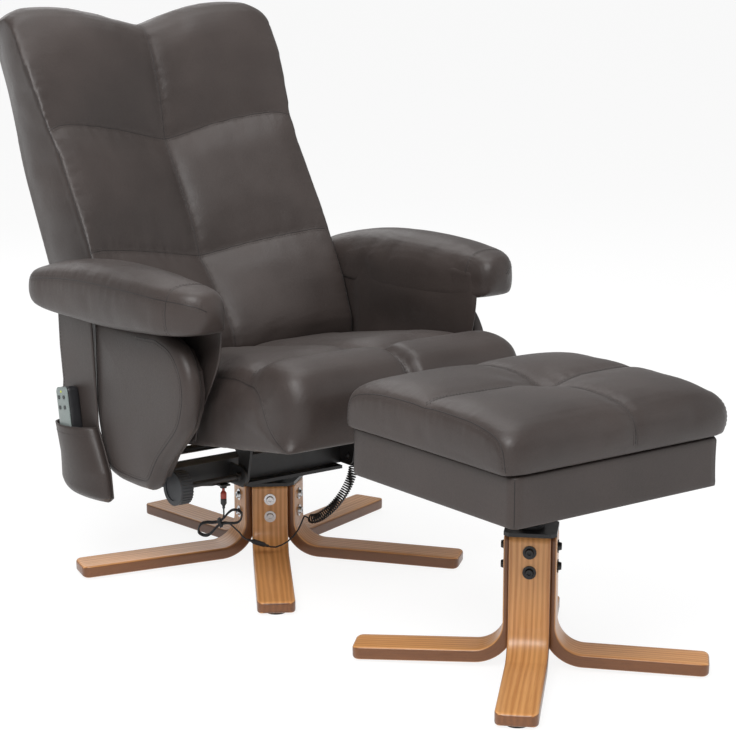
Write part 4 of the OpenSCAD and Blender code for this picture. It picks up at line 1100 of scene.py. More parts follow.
@dataclass
class BackCushion(SewnPart):
    """Back cushion of two columns and three rows, with ears at its top corners."""

    half_w: float = 264.0
    length: float = 658.0
    depth: float = 130.0
    ear_rise: float = 50.0
    ear_place: float = 0.75
    ear_end: float = 0.85
    ear_drop: float = 0.35
    notch: float = 0.1
    crown: float = 17.0
    column_power: float = 0.42
    row_power: float = 0.4
    rows: tuple[float, ...] = (0.0, 0.287, 0.643, 1.0)
    centre_dip: Pairs = ((0, 0.05), (0.07, 0.04), (0.17, -0.1), (0.287, -0.25), (0.39, -0.22), (0.49, -0.25),
                         (0.643, -0.29), (0.76, -0.12), (0.88, -0.02), (1, 0))
    side_lead: Pairs = ((0, 0.14), (0.15, 0.26), (0.3, 0.27), (0.45, 0.19), (0.66, 0.1), (0.84, 0.11), (1, 0.05))
    lead_power: float = 1.4
    flare: float = 20.0
    flare_start: float = 0.55
    flare_len: float = 0.33
    flare_lead: float = 2.3
    flare_bend: float = 0.6
    flare_rear: float = 0.7
    edge_share: float = 0.34
    edge_len: float = 42.0
    chin_drop: float = 34.0
    chin_power: int = 8
    side_bulge: float = 3.0
    side_in: float = 1.0
    side_crowding: float = 0.35
    rear_share: float = 0.985
    held_rear: float = 24.0
    front_steps: int = 96
    side_steps: int = 9
    rear_steps: int = 24
    ring_count: int = 120
    end_rings: tuple[float, ...] = (0.0, 0.012, 0.03)
    seam_samples: int = 110
    centre_end: float = 0.985
    side_span: Pair = (0.01, 0.93)
    board_x: float = 236.0
    cover_low: float = -60.0
    cover_in: float = 20.0
    cover_top: float = 0.8
    cover_steps: Pairs = ((0.3, 0.999), (1.2, 1.0), (2.4, 0.998), (3.0, 0.99), (3.4, 0.96), (3.8, 0.8), (4.2, 0.5),
                          (4.4, 0.2))

    def top(self, u: Array) -> Array:
        """Height of the top edge at places across the back."""
        near = np.hypot(u, self.notch)
        end = np.maximum(0, np.abs(u) - self.ear_end) / (1 - self.ear_end)
        return (self.length + self.ear_rise * (1 - ((near - self.ear_place) / self.ear_place) ** 2)
                - self.ear_rise * self.ear_drop * end ** 2)

    def spread(self, v: float) -> float:
        """How far the ears flare outward at a place up the back."""
        return self.flare * eased(min(1.0, max(0.0, (v - self.flare_start) / self.flare_len)))

    def chin(self, v: float) -> float:
        """How far the front's lower end hangs down at a place up the back."""
        return self.chin_drop * (1 - v) ** self.chin_power

    def puff(self, u: Array, v: float) -> Array:
        """Share of the crown at places of the front."""
        a = np.abs(u)
        column = np.maximum(0, 4 * a * (1 - a)) ** self.column_power
        row = next(k for k in range(3) if v <= self.rows[k + 1] or k == 2)
        t = (v - self.rows[row]) / (self.rows[row + 1] - self.rows[row])
        return column * max(0.0, 4 * t * (1 - t)) ** self.row_power

    def rounding(self, s: Array, top: Array) -> Array:
        """How far the front has rounded away at heights, for the top edge's heights there."""
        q = np.maximum(0, np.maximum(1 - s / self.edge_len, 1 - (top - s) / self.edge_len))
        return 1 - np.sqrt(np.maximum(0, 1 - q * q))

    def front(self, u: Array, v: float) -> Array:
        """Depth of the front face ahead of the datum."""
        c = np.interp(v, *np.array(self.centre_dip).T)
        e = np.interp(v, *np.array(self.side_lead).T)
        return self.depth * (c + (e - c) * np.abs(u) ** self.lead_power) + self.crown * self.puff(u, v)

    def point(self, u: Array, v: float) -> Array:
        """Front points in the back's frame."""
        top = self.top(u)
        s = v * top
        n = self.front(u, v)
        y = -n + (self.depth + n) * self.edge_share * self.rounding(s, top)
        return np.stack([u * (self.half_w + self.spread(v) * u * u), y, s - self.chin(v)], axis=-1)

    def side_wall(self, v: float) -> Array:
        """The left side from front to rear at a place up the back, in the back's frame."""
        end = np.ones(1)
        top, n = self.top(end), self.front(end, v)
        s = v * top
        reach = (self.depth + n) * (1 - self.edge_share * self.rounding(s, top))
        w = np.linspace(0.97, 0.03, self.side_steps)
        flare = self.spread(v) * (self.flare_lead * w - self.flare_bend * w * w - self.flare_rear)
        x = self.half_w + self.side_bulge * np.sin(np.pi * w) - self.side_in + flare
        return np.stack([x, self.depth - w * reach, s - w * self.chin(v)], axis=-1)

    def ring(self, v: float) -> Array:
        """One closed ring across the cushion at a place up the back."""
        u = np.linspace(-1, 1, self.front_steps)
        u = self.side_crowding * np.sin(u * pi / 2) + (1 - self.side_crowding) * u
        wall = self.side_wall(v)
        ru = np.linspace(self.rear_share, -self.rear_share, self.rear_steps)
        rear = np.stack([ru * (self.half_w - self.flare_rear * self.spread(v)), np.full_like(ru, self.depth),
                         v * self.top(ru)], axis=-1)
        return np.vstack([self.point(u, v), wall, rear, (wall * (-1, 1, 1))[::-1]])

    def seam_points(self, line: Iterable[Pair]) -> Array:
        """Row-frame points of a seam given by places across and along the front."""
        return BACK.world(np.array([self.point(np.array([u]), v)[0] for u, v in line]))

    def seams(self) -> dict[str, Seam]:
        """Every seam of the front and sides."""
        up = np.linspace(0.0, self.centre_end, self.seam_samples)
        out = {"back_centre": Seam(self.seam_points((0.0, v) for v in up))}
        for k, v in enumerate(self.rows[1:3]):
            out["back_row_%d" % (k + 1)] = Seam(self.seam_points((u, v) for u in np.linspace(-1, 1, 81)))
        for side in Side:
            edge = self.seam_points((side.value * 0.999, v) for v in np.linspace(*self.side_span, 90))
            out["back_side_" + side.tag] = Seam(edge, ())
        return out

    def build(self) -> None:
        """Makes the cushion with its seams, and its rear cover."""
        ends = np.concatenate([self.end_rings, np.linspace(0.05, 0.95, self.ring_count), [0.97, 0.988, 1.0]])
        cushion = lofted("back_padding", np.array([self.ring(v) for v in ends]), BACK)
        rear, inside = BACK.world(np.array([[0.0, self.depth, 0.0], [0.0, self.depth - 1.0, 0.0]]))
        normal = (rear - inside) / np.linalg.norm(rear - inside)

        def hold(points: Array) -> Array:
            """Held on the flat rear."""
            return ((points - rear) @ normal > -self.held_rear * MM) * 1.0

        self.fill(cushion, Body.BACK, "back_cushion", 0.7, self.seams(), Plumping(voxel=6.0, cap=4.0), hold)
        self.rear_cover()

    def rear_cover(self) -> None:
        """Makes the flat leather cover on the rear with its rolled edge."""
        u = np.linspace(1, -1, 61)
        top = self.top(u) - self.edge_len * self.cover_top
        edge = np.concatenate([[[-self.board_x, self.cover_low], [self.board_x, self.cover_low]],
                               np.stack([u * (self.half_w - self.cover_in), top], axis=1)])
        edge = even_line(edge, 9.0, closed=True)
        steps = [(self.depth + rise, share) for rise, share in self.cover_steps]
        piece = lofted("back_rear_cover", outline_rings(edge, edge.mean(axis=0), steps, 1), BACK)
        self.cover_in_leather(piece, Body.BACK, ["back_cover"])


@dataclass
class SeatCushion(SewnPart):
    """Seat cushion with a front roll, a centre seam, a cross seam and a tuft."""

    half_w: float = 240.0
    rear: float = 145.0
    front: float = 376.0
    crown: float = 222.0
    seam: float = 189.0
    low: float = 76.0
    fold_y: float = -245.0
    seam_y: Table = (1, 1, 1, 0.4, -0.16, -0.42, -0.5, -0.57, -0.62, -0.652, -0.684, -0.72, -0.745, -0.76, -0.79,
                     -0.85, -0.93, -0.96)
    seam_z: Table = (0, 0.5, 0.97, 0.99, 1, 1, 0.98, 0.95, 0.9, 0.86, 0.82, 0.73, 0.6, 0.44, 0.3, 0.15, 0.03, 0)
    crown_y: Table = (1, 1.03, 1, 0.55, 0.1, -0.28, -0.5, -0.59, -0.652, -0.715, -0.8, -0.9, -0.965, -1, -0.995,
                      -0.98, -0.965, -0.962)
    crown_z: Table = (0, 0.45, 0.9, 0.95, 0.97, 0.985, 0.99, 0.97, 0.92, 0.975, 1, 0.93, 0.8, 0.58, 0.36, 0.18,
                      0.06, 0)
    end_power: int = 16
    centre_dip: float = 0.24
    centre_w: float = 0.05
    roll_out: float = 14.0
    roll_lift: float = 5.0
    roll_start: float = 9.0
    roll_len: float = 3.0
    top_above: float = 60.0
    lift_over: float = 50.0
    tuft: float = 16.0
    tuft_x: float = 26.0
    tuft_y: float = 46.0
    cross_dip: float = 3.5
    cross_w: float = 9.0
    cross_fade: float = 0.08
    end_steps: Pairs = ((0.97, 2.0), (0.86, 3.2), (0.6, 4.0), (0.3, 4.2))
    fine: int = 132
    top_span: tuple[int, int] = (13, 102)
    centre_span: tuple[int, int] = (14, 117)
    side_span: tuple[int, int] = (18, 124)
    steps: int = 96
    held_depth: float = 18.0

    def profile(self, ys: Table, zs: Table, height: float) -> Array:
        """One profile in Y and Z from its shares, finely sampled."""
        y = np.array([s * (self.rear if s > 0 else self.front) for s in ys])
        z = np.array([self.low + (height - self.low) * s for s in zs])
        return smooth_line(np.stack([y, z], axis=1), self.fine)

    def surface(self, u: float) -> Array:
        """The profile at a place across the seat.

        Args:
            u: place across, from -1 to 1.

        Returns:
            The profile's points in the seat's frame.
        """
        side = self.profile(self.seam_y, self.seam_z, self.seam)
        crown = self.profile(self.crown_y, self.crown_z, self.crown)
        full = sqrt(max(0.0, 1 - abs(u) ** self.end_power))
        swell = full * (1 - self.centre_dip * exp(-(u / self.centre_w) ** 2))
        p = side + (crown - side) * swell
        place = np.arange(self.fine) * (len(self.seam_y) - 1) / (self.fine - 1)
        roll = np.clip((place - self.roll_start) / self.roll_len, 0, 1)
        x = u * self.half_w + self.roll_out * u ** 3 * roll
        above = p[:, 1] - self.low - self.top_above
        lift = self.roll_lift * full * u * u * roll * np.clip(above / self.lift_over, 0, 1)
        dip = self.tuft * np.exp(-(x / self.tuft_x) ** 2 - ((p[:, 0] - self.fold_y) / self.tuft_y) ** 2)
        ends = 1 - bell(abs(u) - 1, self.cross_fade)
        cross = self.cross_dip * bell(p[:, 0] - self.fold_y, self.cross_w) * ends
        return np.stack([x, p[:, 0], p[:, 1] + lift - (dip + cross) * (above > 0)], axis=1)

    def top_at(self, u: float, y: float) -> Array:
        """The upper surface point at a place across the seat and along it."""
        part = self.surface(u)[slice(*self.top_span)]
        return part[np.argmin(np.abs(part[:, 1] - y))]

    def seams(self) -> dict[str, Seam]:
        """The centre seam, the cross seam and the two side seams."""
        across = [self.top_at(k, self.fold_y) for k in np.linspace(-0.97, 0.97, 90)]
        out = {"seat_centre": Seam(SEAT.world(self.surface(0.0)[slice(*self.centre_span)])),
               "seat_cross": Seam(SEAT.world(np.array(across)))}
        for side in Side:
            line = self.surface(0.998 * side.value)[slice(*self.side_span)]
            out["seat_side_" + side.tag] = Seam(SEAT.world(line), (1.0,))
        return out

    def build(self) -> None:
        """Makes the cushion and its seams."""
        rings = np.array([self.surface(k) for k in crowded_ends(self.steps)])
        cushion = lofted("seat_padding", capped(rings, self.end_steps, 0), SEAT)
        bed = Bed(SEAT, self.low, self.held_depth)
        self.fill(cushion, Body.SEAT, "seat_cushion", 0.75, self.seams(), Plumping(cap=6.0), bed.hold)


@dataclass
class LidCushion(SewnPart):
    """Footstool cushion with crossed seams and a deep centre tuft."""

    half_x: float = 215.0
    half_y: float = 205.0
    low: float = 377.5
    crown: float = 81.8
    seam: float = 64.8
    seam_x: float = 20.0
    bulge: float = 13.0
    bulge_left: float = 3.0
    bulge_power: int = 4
    seam_y: Table = (0.5, 0.94, 0.965, 0.96, 0.94, 0.9, 0.8, 0.6, 0.35, 0.12)
    seam_z: Table = (0, 0, 0.15, 0.35, 0.55, 0.72, 0.85, 0.95, 0.99, 1)
    crown_y: Table = (0.5, 0.93, 0.99, 1, 0.985, 0.93, 0.82, 0.58, 0.3, 0.1)
    crown_z: Table = (0, 0, 0.14, 0.34, 0.57, 0.76, 0.89, 0.98, 1, 1)
    end_power: int = 9
    centre_dip: float = 0.2
    centre_w: float = 14.0
    top_above: float = 25.0
    tuft: float = 15.0
    tuft_x: float = 44.0
    tuft_y: float = 48.0
    cross_dip: float = 6.5
    cross_w: float = 15.0
    cross_fade: float = 0.7
    end_in: float = 0.06
    end_in_power: int = 16
    end_steps: Pairs = ((0.97, 2.0), (0.86, 3.0), (0.5, 3.6))
    fine: int = 132
    steps: int = 96

    def loop(self, ys: Table, zs: Table, height: float) -> Array:
        """A closed profile from its front half's shares."""
        front = [(y * self.half_y, self.low + z * height) for y, z in zip(ys, zs)]
        rear = [(-y, z) for y, z in reversed(front)]
        return smooth_line(np.array(front + rear), self.fine, closed=True)

    def surface(self, u: float) -> Array:
        """The profile at a place across the cushion.

        Args:
            u: place across, from -1 to 1.

        Returns:
            The profile's points in the footstool's frame.
        """
        side = self.loop(self.seam_y, self.seam_z, self.seam)
        crown = self.loop(self.crown_y, self.crown_z, self.crown)
        x = u * self.half_x
        off = x - self.seam_x
        swell = sqrt(max(0.0, 1 - abs(u) ** self.end_power))
        swell *= 1 - self.centre_dip * exp(-(off / self.centre_w) ** 2)
        p = side + (crown - side) * swell
        top = np.clip((p[:, 1] - self.low - self.top_above) / self.top_above, 0, 1)
        tuft = self.tuft * np.exp(-((off / self.tuft_x) ** 2 + (p[:, 0] / self.tuft_y) ** 2))
        cross = self.cross_dip * bell(p[:, 0], self.cross_w) * (1 - self.cross_fade * abs(u) ** 3)
        y = p[:, 0] * (1 - self.end_in * abs(u) ** self.end_in_power)
        rise = np.clip((p[:, 1] - self.low) / self.seam, 0, 1)
        swelling = (self.bulge if u > 0 else -self.bulge_left) * abs(u) ** self.bulge_power
        x = x + swelling * np.sqrt(np.maximum(0, np.sin(np.pi * rise)))
        return np.stack([x, y, p[:, 1] - (tuft + cross) * top], axis=1)

    def above(self, u: float, rise: float) -> Array:
        """Points of a profile higher than a rise over the board, ordered from front to rear."""
        line = self.surface(u)
        kept = line[line[:, 2] > self.low + rise]
        return kept[np.argsort(kept[:, 1])]

    def seams(self) -> dict[str, Seam]:
        """The centre seam, the cross seam and the two side seams."""
        tops = []
        for k in np.linspace(-0.985, 0.985, 90):
            upper = self.above(k, 40)
            tops.append(upper[np.argmin(np.abs(upper[:, 1]))])
        out = {"lid_centre": Seam(STOOL.world(self.above(self.seam_x / self.half_x, 12))),
               "lid_cross": Seam(STOOL.world(np.array(tops)))}
        for side in Side:
            out["lid_side_" + side.tag] = Seam(STOOL.world(self.above(0.998 * side.value, 6)), (1.0,))
        return out

    def build(self) -> None:
        """Makes the cushion and its seams."""
        rings = np.array([self.surface(k) for k in crowded_ends(self.steps)])
        cushion = lofted("lid_padding", capped(rings, self.end_steps, 0), STOOL)
        bed = Bed(STOOL, self.low)
        self.fill(cushion, Body.LID, "lid_cushion", 0.75, self.seams(), Plumping(cap=5.0), bed.hold)


@dataclass
class ArmPads(SewnPart):
    """Two padded arms with a side seam and a gathered front end."""

    arm_x: float = 374.0
    width: float = 120.0
    top: float = 575.0
    low: float = 471.0
    front: float = 296.0
    rear: float = 240.0
    set_share: float = 0.9
    least_half: float = 0.05
    x_shares: Table = (-0.7, 0, 0.62, 0.88, 0.99, 1, 0.95, 0.78, 0.42, 0, -0.45, -0.8, -1, -1, -0.99)
    z_shares: Table = (0, 0, 0.01, 0.07, 0.26, 0.52, 0.72, 0.9, 0.985, 1, 0.97, 0.87, 0.63, 0.3, 0.02)
    ring_shares: Pairs = ((0, 0.2, 0.4, 0.45, 0), (0.012, 0.5, 0.24, 0.58, 0), (0.045, 0.74, 0.1, 0.67, 0),
                          (0.1, 0.88, 0.03, 0.74, 0), (0.2, 0.9, 0, 0.84, 0), (0.33, 0.93, 0, 0.94, 0),
                          (0.48, 0.98, 0, 1, 0), (0.62, 1, 0.03, 1.01, 0), (0.75, 0.97, 0.08, 1, 0.02),
                          (0.87, 0.87, 0.13, 0.96, 0.11), (0.95, 0.68, 0.18, 0.9, 0.21),
                          (0.985, 0.45, 0.25, 0.81, 0.28), (1, 0.2, 0.42, 0.64, 0.3))
    end_steps: Pairs = ((0.6, 0.8), (0.25, 1.2))
    sides: int = 72
    rings: int = 110
    seam_at: float = 6.0
    seam_from: int = 3
    gather_at: float = 0.9
    gather_span: Pair = (0.18, 0.86)

    def section(self) -> Array:
        """The cross-section's shares, finely sampled and closed."""
        return smooth_line(np.array([self.x_shares, self.z_shares]).T, self.sides, closed=True)

    def across(self, row: Sequence[float]) -> Pair:
        """Half width of an arm at one row, and how far its middle lies from the middle of the chair."""
        half = self.width / 2 * row[1]
        return half, self.arm_x - max(half, self.width / 2 * self.set_share) - self.width * row[4] / 2

    def ring(self, row: Sequence[float], section: Array, side: Side) -> Array:
        """One ring of an arm."""
        half, x = self.across(row)
        y = self.rear - (self.rear + self.front) * row[0]
        span = self.top - self.low
        low, high = self.low + span * row[2], self.low + span * row[3]
        height = low + (high - low) * section[:, 1]
        return np.stack([(x + half * section[:, 0]) * side.value, np.full(len(section), y), height], axis=1)

    def table(self) -> Array:
        """The rows of shares, finely sampled from the rear to the nose."""
        table = smooth_line(np.array(self.ring_shares, dtype=float), self.rings)
        table[:, 1] = np.maximum(table[:, 1], self.least_half)
        return table

    def inner_face(self, row: Sequence[float]) -> float:
        """Distance of the arm's inner face from the middle of the chair at one row."""
        half, x = self.across(row)
        return x - half

    def build(self) -> None:
        """Makes both arms."""
        table, section = self.table(), self.section()
        seam_k = int(round(self.seam_at / len(self.x_shares) * self.sides))
        first, last = (int(self.sides * share) for share in self.gather_span)
        gather = table[np.argmin(np.abs(table[:, 0] - self.gather_at))]
        bed = Bed(CHAIR, self.low, firm=1.3)
        for side in Side:
            rings = np.array([self.ring(row, section, side) for row in table])
            arm = lofted("arm_padding_" + side.tag, capped(rings, self.end_steps, 1), CHAIR)
            seams = {"arm_seam_" + side.tag: Seam(CHAIR.world(rings[self.seam_from:, seam_k])),
                     "arm_end_" + side.tag: Seam(CHAIR.world(self.ring(gather, section, side)[first:last]), (1.0,))}
            plumping = Plumping(cap=4.0, pucker=0.45, seam_hold=6.0)
            self.fill(arm, Body.UPPER, "arm_pad_" + side.tag, 0.7, seams, plumping, bed.hold)


@dataclass
class SidePanels(SewnPart):
    """Leaf-shaped padded panels below the arms and the skirts inside them."""

    arms: ArmPads
    face_x: float = 292.0
    thick: float = 33.0
    nose: float = 253.0
    low: float = 191.0
    high: float = 470.7
    y_shares: Table = (0.2925, 0.2925, 0.253, 0.174, 0.024, -0.18, -0.35, -0.455, -0.6, -0.86, -0.94, -0.965,
                       -0.93, -0.81, -0.593, -0.416, -0.107)
    z_shares: Table = (1, 0.47, 0.29, 0.07, 0.01, 0, 0.005, 0.03, 0.21, 0.44, 0.58, 0.7, 0.84, 0.965, 1.0233,
                       1.0115, 1)
    curved_from: int = 1
    curved_to: int = 15
    middle: Pair = (-0.35, 0.55)
    layers: Pairs = ((0, 0.985), (0.12, 0.996), (0.25, 1), (0.45, 0.998), (0.62, 0.982), (0.74, 0.955),
                     (0.82, 0.925), (0.87, 0.885), (0.9, 0.83), (0.94, 0.74), (0.97, 0.6), (0.99, 0.42),
                     (1.0, 0.22), (1.0, 0.08))
    seam_layer: int = 7
    seam_share: float = 0.86
    skirt_x: float = 267.0
    skirt_t: float = 2.6
    skirt_gap: float = 1.4
    skirt_low: float = 290.5
    skirt_top: float = 541.0
    skirt_rear: float = 200.0
    skirt_front_edge: Pairs = ((-186, 290.5), (-199, 335), (-221, 369), (-240, 398), (-258, 434), (-266, 470),
                               (-268, 505), (-262, 541))
    skirt_rows: int = 60
    skirt_columns: int = 54
    lean_from: float = 400.0
    lean_len: float = 85.0
    rear_from: float = 80.0
    rear_len: float = 20.0
    rear_out: float = 4.0
    tuck_share: float = 0.62
    tuck_len: float = 8.0
    tuck_in: float = 3.4
    hem_len: float = 5.0
    hem_in: float = 1.2
    lead_len: float = 7.0
    lead_in: float = 2.4
    edge_thin: float = 0.6

    def outline(self) -> Array:
        """The panel's outline in Y and Z."""
        pts = np.array([(y * self.nose, self.low + (self.high - self.low) * z)
                        for y, z in zip(self.y_shares, self.z_shares)])
        curved = smooth_line(pts[self.curved_from:self.curved_to], 110)
        return even_line(np.vstack([pts[:self.curved_from], curved, pts[self.curved_to:]]), 7.0, closed=True)

    def panel(self, side: Side) -> None:
        """Makes one padded panel with its edge seam."""
        middle = np.array([self.nose * self.middle[0], self.low + (self.high - self.low) * self.middle[1]])
        steps = [(side.value * (self.face_x + rise * self.thick), share) for rise, share in self.layers]
        rings = outline_rings(self.outline(), middle, steps, 0)
        piece = lofted("side_padding_" + side.tag, rings, CHAIR)
        self.cover_in_leather(piece, Body.UPPER, ["side_panel_" + side.tag], fill=0.6)
        ring = CHAIR.world(rings[self.seam_layer])
        line = ring[:int(len(ring) * self.seam_share)]
        self.stitching.seam("side_seam_" + side.tag, Skin(piece), line, Body.UPPER, (1.0,))

    def skirt_layer(self, lift: float) -> Array:
        """One skin of the left skirt, from its lower edge up to the arm.

        Args:
            lift: how far the skin lies outside the inner one.

        Returns:
            The grid of points in the chair's frame.
        """
        arms, table = self.arms, self.arms.table()
        place = arms.rear - (arms.rear + arms.front) * table[:, 0]
        order = np.argsort(place)
        place = place[order]
        inner = np.array([arms.inner_face(row) for row in table])[order]
        up = table[:, 2] + self.tuck_share * (table[:, 3] - table[:, 2])
        tops = (arms.low + (arms.top - arms.low) * up)[order]
        grid = np.empty((self.skirt_rows, self.skirt_columns, 3))
        for i, (front, z) in enumerate(smooth_line(self.skirt_front_edge, self.skirt_rows)):
            y = np.linspace(front, self.skirt_rear, self.skirt_columns)
            lean = eased(np.clip((z - self.lean_from) / self.lean_len, 0, 1))
            x = self.skirt_x + (np.interp(y, place, inner) - self.skirt_gap - self.skirt_x) * lean
            x += self.rear_out * np.clip((y - self.rear_from) / self.rear_len, 0, 1)
            edge = (self.tuck_in * np.clip((z - self.skirt_top) / self.tuck_len + 1, 0, 1) ** 2
                    + self.hem_in * np.clip((self.skirt_low - z) / self.hem_len + 1, 0, 1) ** 2
                    + self.lead_in * np.clip((front - y) / self.lead_len + 1, 0, 1) ** 2)
            share = (z - self.skirt_low) / (self.skirt_top - self.skirt_low)
            height = self.skirt_low + (np.interp(y, place, tops) - self.skirt_low) * share
            grid[i] = np.stack([x + edge + lift * (1 - self.edge_thin * edge / self.tuck_in), y, height], axis=1)
        return grid

    def skirt(self, side: Side) -> None:
        """Makes the arm's inner cover, which hangs from its inner seam down to the skirt's lower edge."""
        skins = [self.skirt_layer(lift) * (side.value, 1, 1) for lift in (0.0, self.skirt_t)]
        piece = two_skins("arm_inner_cover_" + side.tag, skins, CHAIR)
        self.cover_in_leather(piece, Body.UPPER, ["arm_skirt_" + side.tag], fill=0.4)

    def build(self) -> None:
        """Makes both panels and both skirts."""
        for side in Side:
            self.panel(side)
            self.skirt(side)


@dataclass
class Pocket(SewnPart):
    """Hanging leather flap and pouch for the handset."""

    flap_x: float = 327.0
    flap_t: float = 3.0
    flap: Pairs = ((176, 470.4), (173, 406), (164, 343), (175, 284), (158, 219), (157, 175), (136, 151), (96, 146),
                   (10, 149), (-6, 160), (0, 203), (23, 247), (41, 279), (56, 470.4))
    layers: Pairs = ((0.0, 0.99), (0.6, 1.0), (2.2, 1.0), (2.9, 0.985), (3.0, 0.9), (3.0, 0.5), (3.0, 0.2))
    rear_points: int = 4
    rear_stitches_in: float = 6.0
    rear_stitches_out: float = 3.2
    reach: float = 34.0
    left_edge: Pairs = ((149, 12), (161, -5), (203, 1), (247, 24), (279, 42))
    right_edge: Pairs = ((147, 96), (152, 135), (175, 156), (219, 157), (270, 172))
    full_at: float = 0.19
    rise_power: float = 1.4
    round_power: float = 0.45
    hem: float = 2.4
    rows: int = 40
    columns: int = 46
    mouth_row: int = 36

    def build(self) -> None:
        """Makes the flap, the pouch and their stitches."""
        edge = even_line(np.array(self.flap, dtype=float), 7.0, closed=True)
        steps = [(-(self.flap_x + x), share) for x, share in self.layers]
        flap = lofted("pocket_flap", outline_rings(edge, edge.mean(axis=0), steps, 0), CHAIR)
        self.cover_in_leather(flap, Body.UPPER, ["pocket_flap"])
        self.pouch()
        line = np.array([(-(self.flap_x + self.rear_stitches_out), y - self.rear_stitches_in, z)
                         for y, z in self.flap[:self.rear_points]])
        self.stitching.seam("pocket_edge", Skin(flap), CHAIR.world(line), Body.UPPER, (0.0,), False)

    def layer(self, inset: float) -> Array:
        """One skin of the pouch, from its bottom up to its mouth.

        Args:
            inset: how far the skin lies inside the outer one.

        Returns:
            The grid of points in the chair's frame.
        """
        left, right = np.array(self.left_edge, dtype=float), np.array(self.right_edge, dtype=float)
        across = np.linspace(0, 1, self.columns)
        grid = np.empty((self.rows, self.columns, 3))
        for i, w in enumerate(np.linspace(0, 1, self.rows) ** self.rise_power):
            start, stop = (edge[0, 0] + (edge[-1, 0] - edge[0, 0]) * w for edge in (left, right))
            low, high = np.interp(start, *left.T) + inset, np.interp(stop, *right.T) - inset
            depth = self.reach * sqrt(1 - max(0.0, 1 - w / self.full_at) ** 2)
            out = np.maximum(0.0, depth * np.sin(np.pi * across) ** self.round_power - inset)
            z = start + (stop - start) * across + inset * (1 - w)
            grid[i] = np.stack([-(self.flap_x + self.flap_t + out), low + (high - low) * across, z], axis=1)
        return grid

    def pouch(self) -> None:
        """Makes the pouch: a swelling front sewn to the flap, open at its mouth."""
        skins = [self.layer(inset) for inset in (0.0, self.hem)]
        piece = two_skins("pocket_pouch", skins, CHAIR)
        self.cover_in_leather(piece, Body.UPPER, ["handset_pocket"])
        mouth = CHAIR.world(skins[0][self.mouth_row])
        self.stitching.seam("pouch_mouth", Skin(piece), mouth, Body.UPPER, (0.0,), False)


@dataclass
class Handset:
    """Hand control in the pocket: two shells, four keys and a lamp."""

    finishes: Finishes
    place: Placing
    width: float = 39.0
    length: float = 170.0
    thick: float = 26.0
    front_t: float = 4.5
    corner: float = 8.0
    corner_steps: int = 8
    parting_sunk: float = 0.2
    parting_lip: float = 0.4
    layers: Pairs = ((0.0, 1.2, 0.0), (0.12, 0.3, 0.0), (0.3, 0.0, 0.0), (0.6, 0.0, 0.0), (0.8, 0.0, 0.25),
                     (0.93, 0.0, 0.6), (1.0, 0.0, 1.0))
    rear_soft: float = 3.0
    front_soft: float = 2.4
    keys: tuple[str, ...] = ("button_power", "button_mode", "button_up", "button_down")
    lamp_z: float = 162.0
    lamp_layers: Pairs = ((-0.6, 2.6), (0.3, 2.6), (0.8, 2.0), (1.0, 0.8))

    def slab(self, name: str, x0: float, x1: float, soft_end: float) -> Piece:
        """A rounded slab across the handset's thickness.

        Args:
            name: piece name.
            x0: depth of its inner face.
            x1: depth of its outer face.
            soft_end: how far its outer edge is rounded.

        Returns:
            The object.
        """
        half = np.array([self.width / 2, self.length / 2])
        middle = np.array([0.0, half[1]])
        edge = middle + rounded_rectangle(half, self.corner, -1, self.corner_steps)
        steps = [(-(x0 + (x1 - x0) * t), 1 - (inset + soft_end * share) / half) for t, inset, share in self.layers]
        return lofted(name, outline_rings(edge, middle, steps, 0), self.place)

    def build(self) -> None:
        """Makes the shells, the keys' finish and the lamp."""
        parting = self.thick - self.front_t
        rear = self.slab("handset_rear_shell", parting - self.parting_sunk, 0.0, self.rear_soft)
        settle(rear, Body.HANDSET, self.finishes.black_plastic, ["handset_rear"])
        front = self.slab("handset_front_shell", parting + self.parting_lip, self.thick, self.front_soft)
        settle(front, Body.HANDSET, self.finishes.grey_plastic, ["handset_front"])
        for key in self.keys:
            wear(frame["nodes"][key], self.finishes.keys)
            soften(key, 0.5)
        a = np.linspace(0, tau, 20, endpoint=False)
        middle = np.array([0.0, self.lamp_z])
        edge = middle + np.stack([np.cos(a), np.sin(a)], axis=1)
        steps = [(-self.thick - rise, r) for rise, r in self.lamp_layers]
        lamp = lofted("handset_lamp", outline_rings(edge, middle, steps, 0), self.place)
        settle(lamp, Body.HANDSET, self.finishes.lamp)


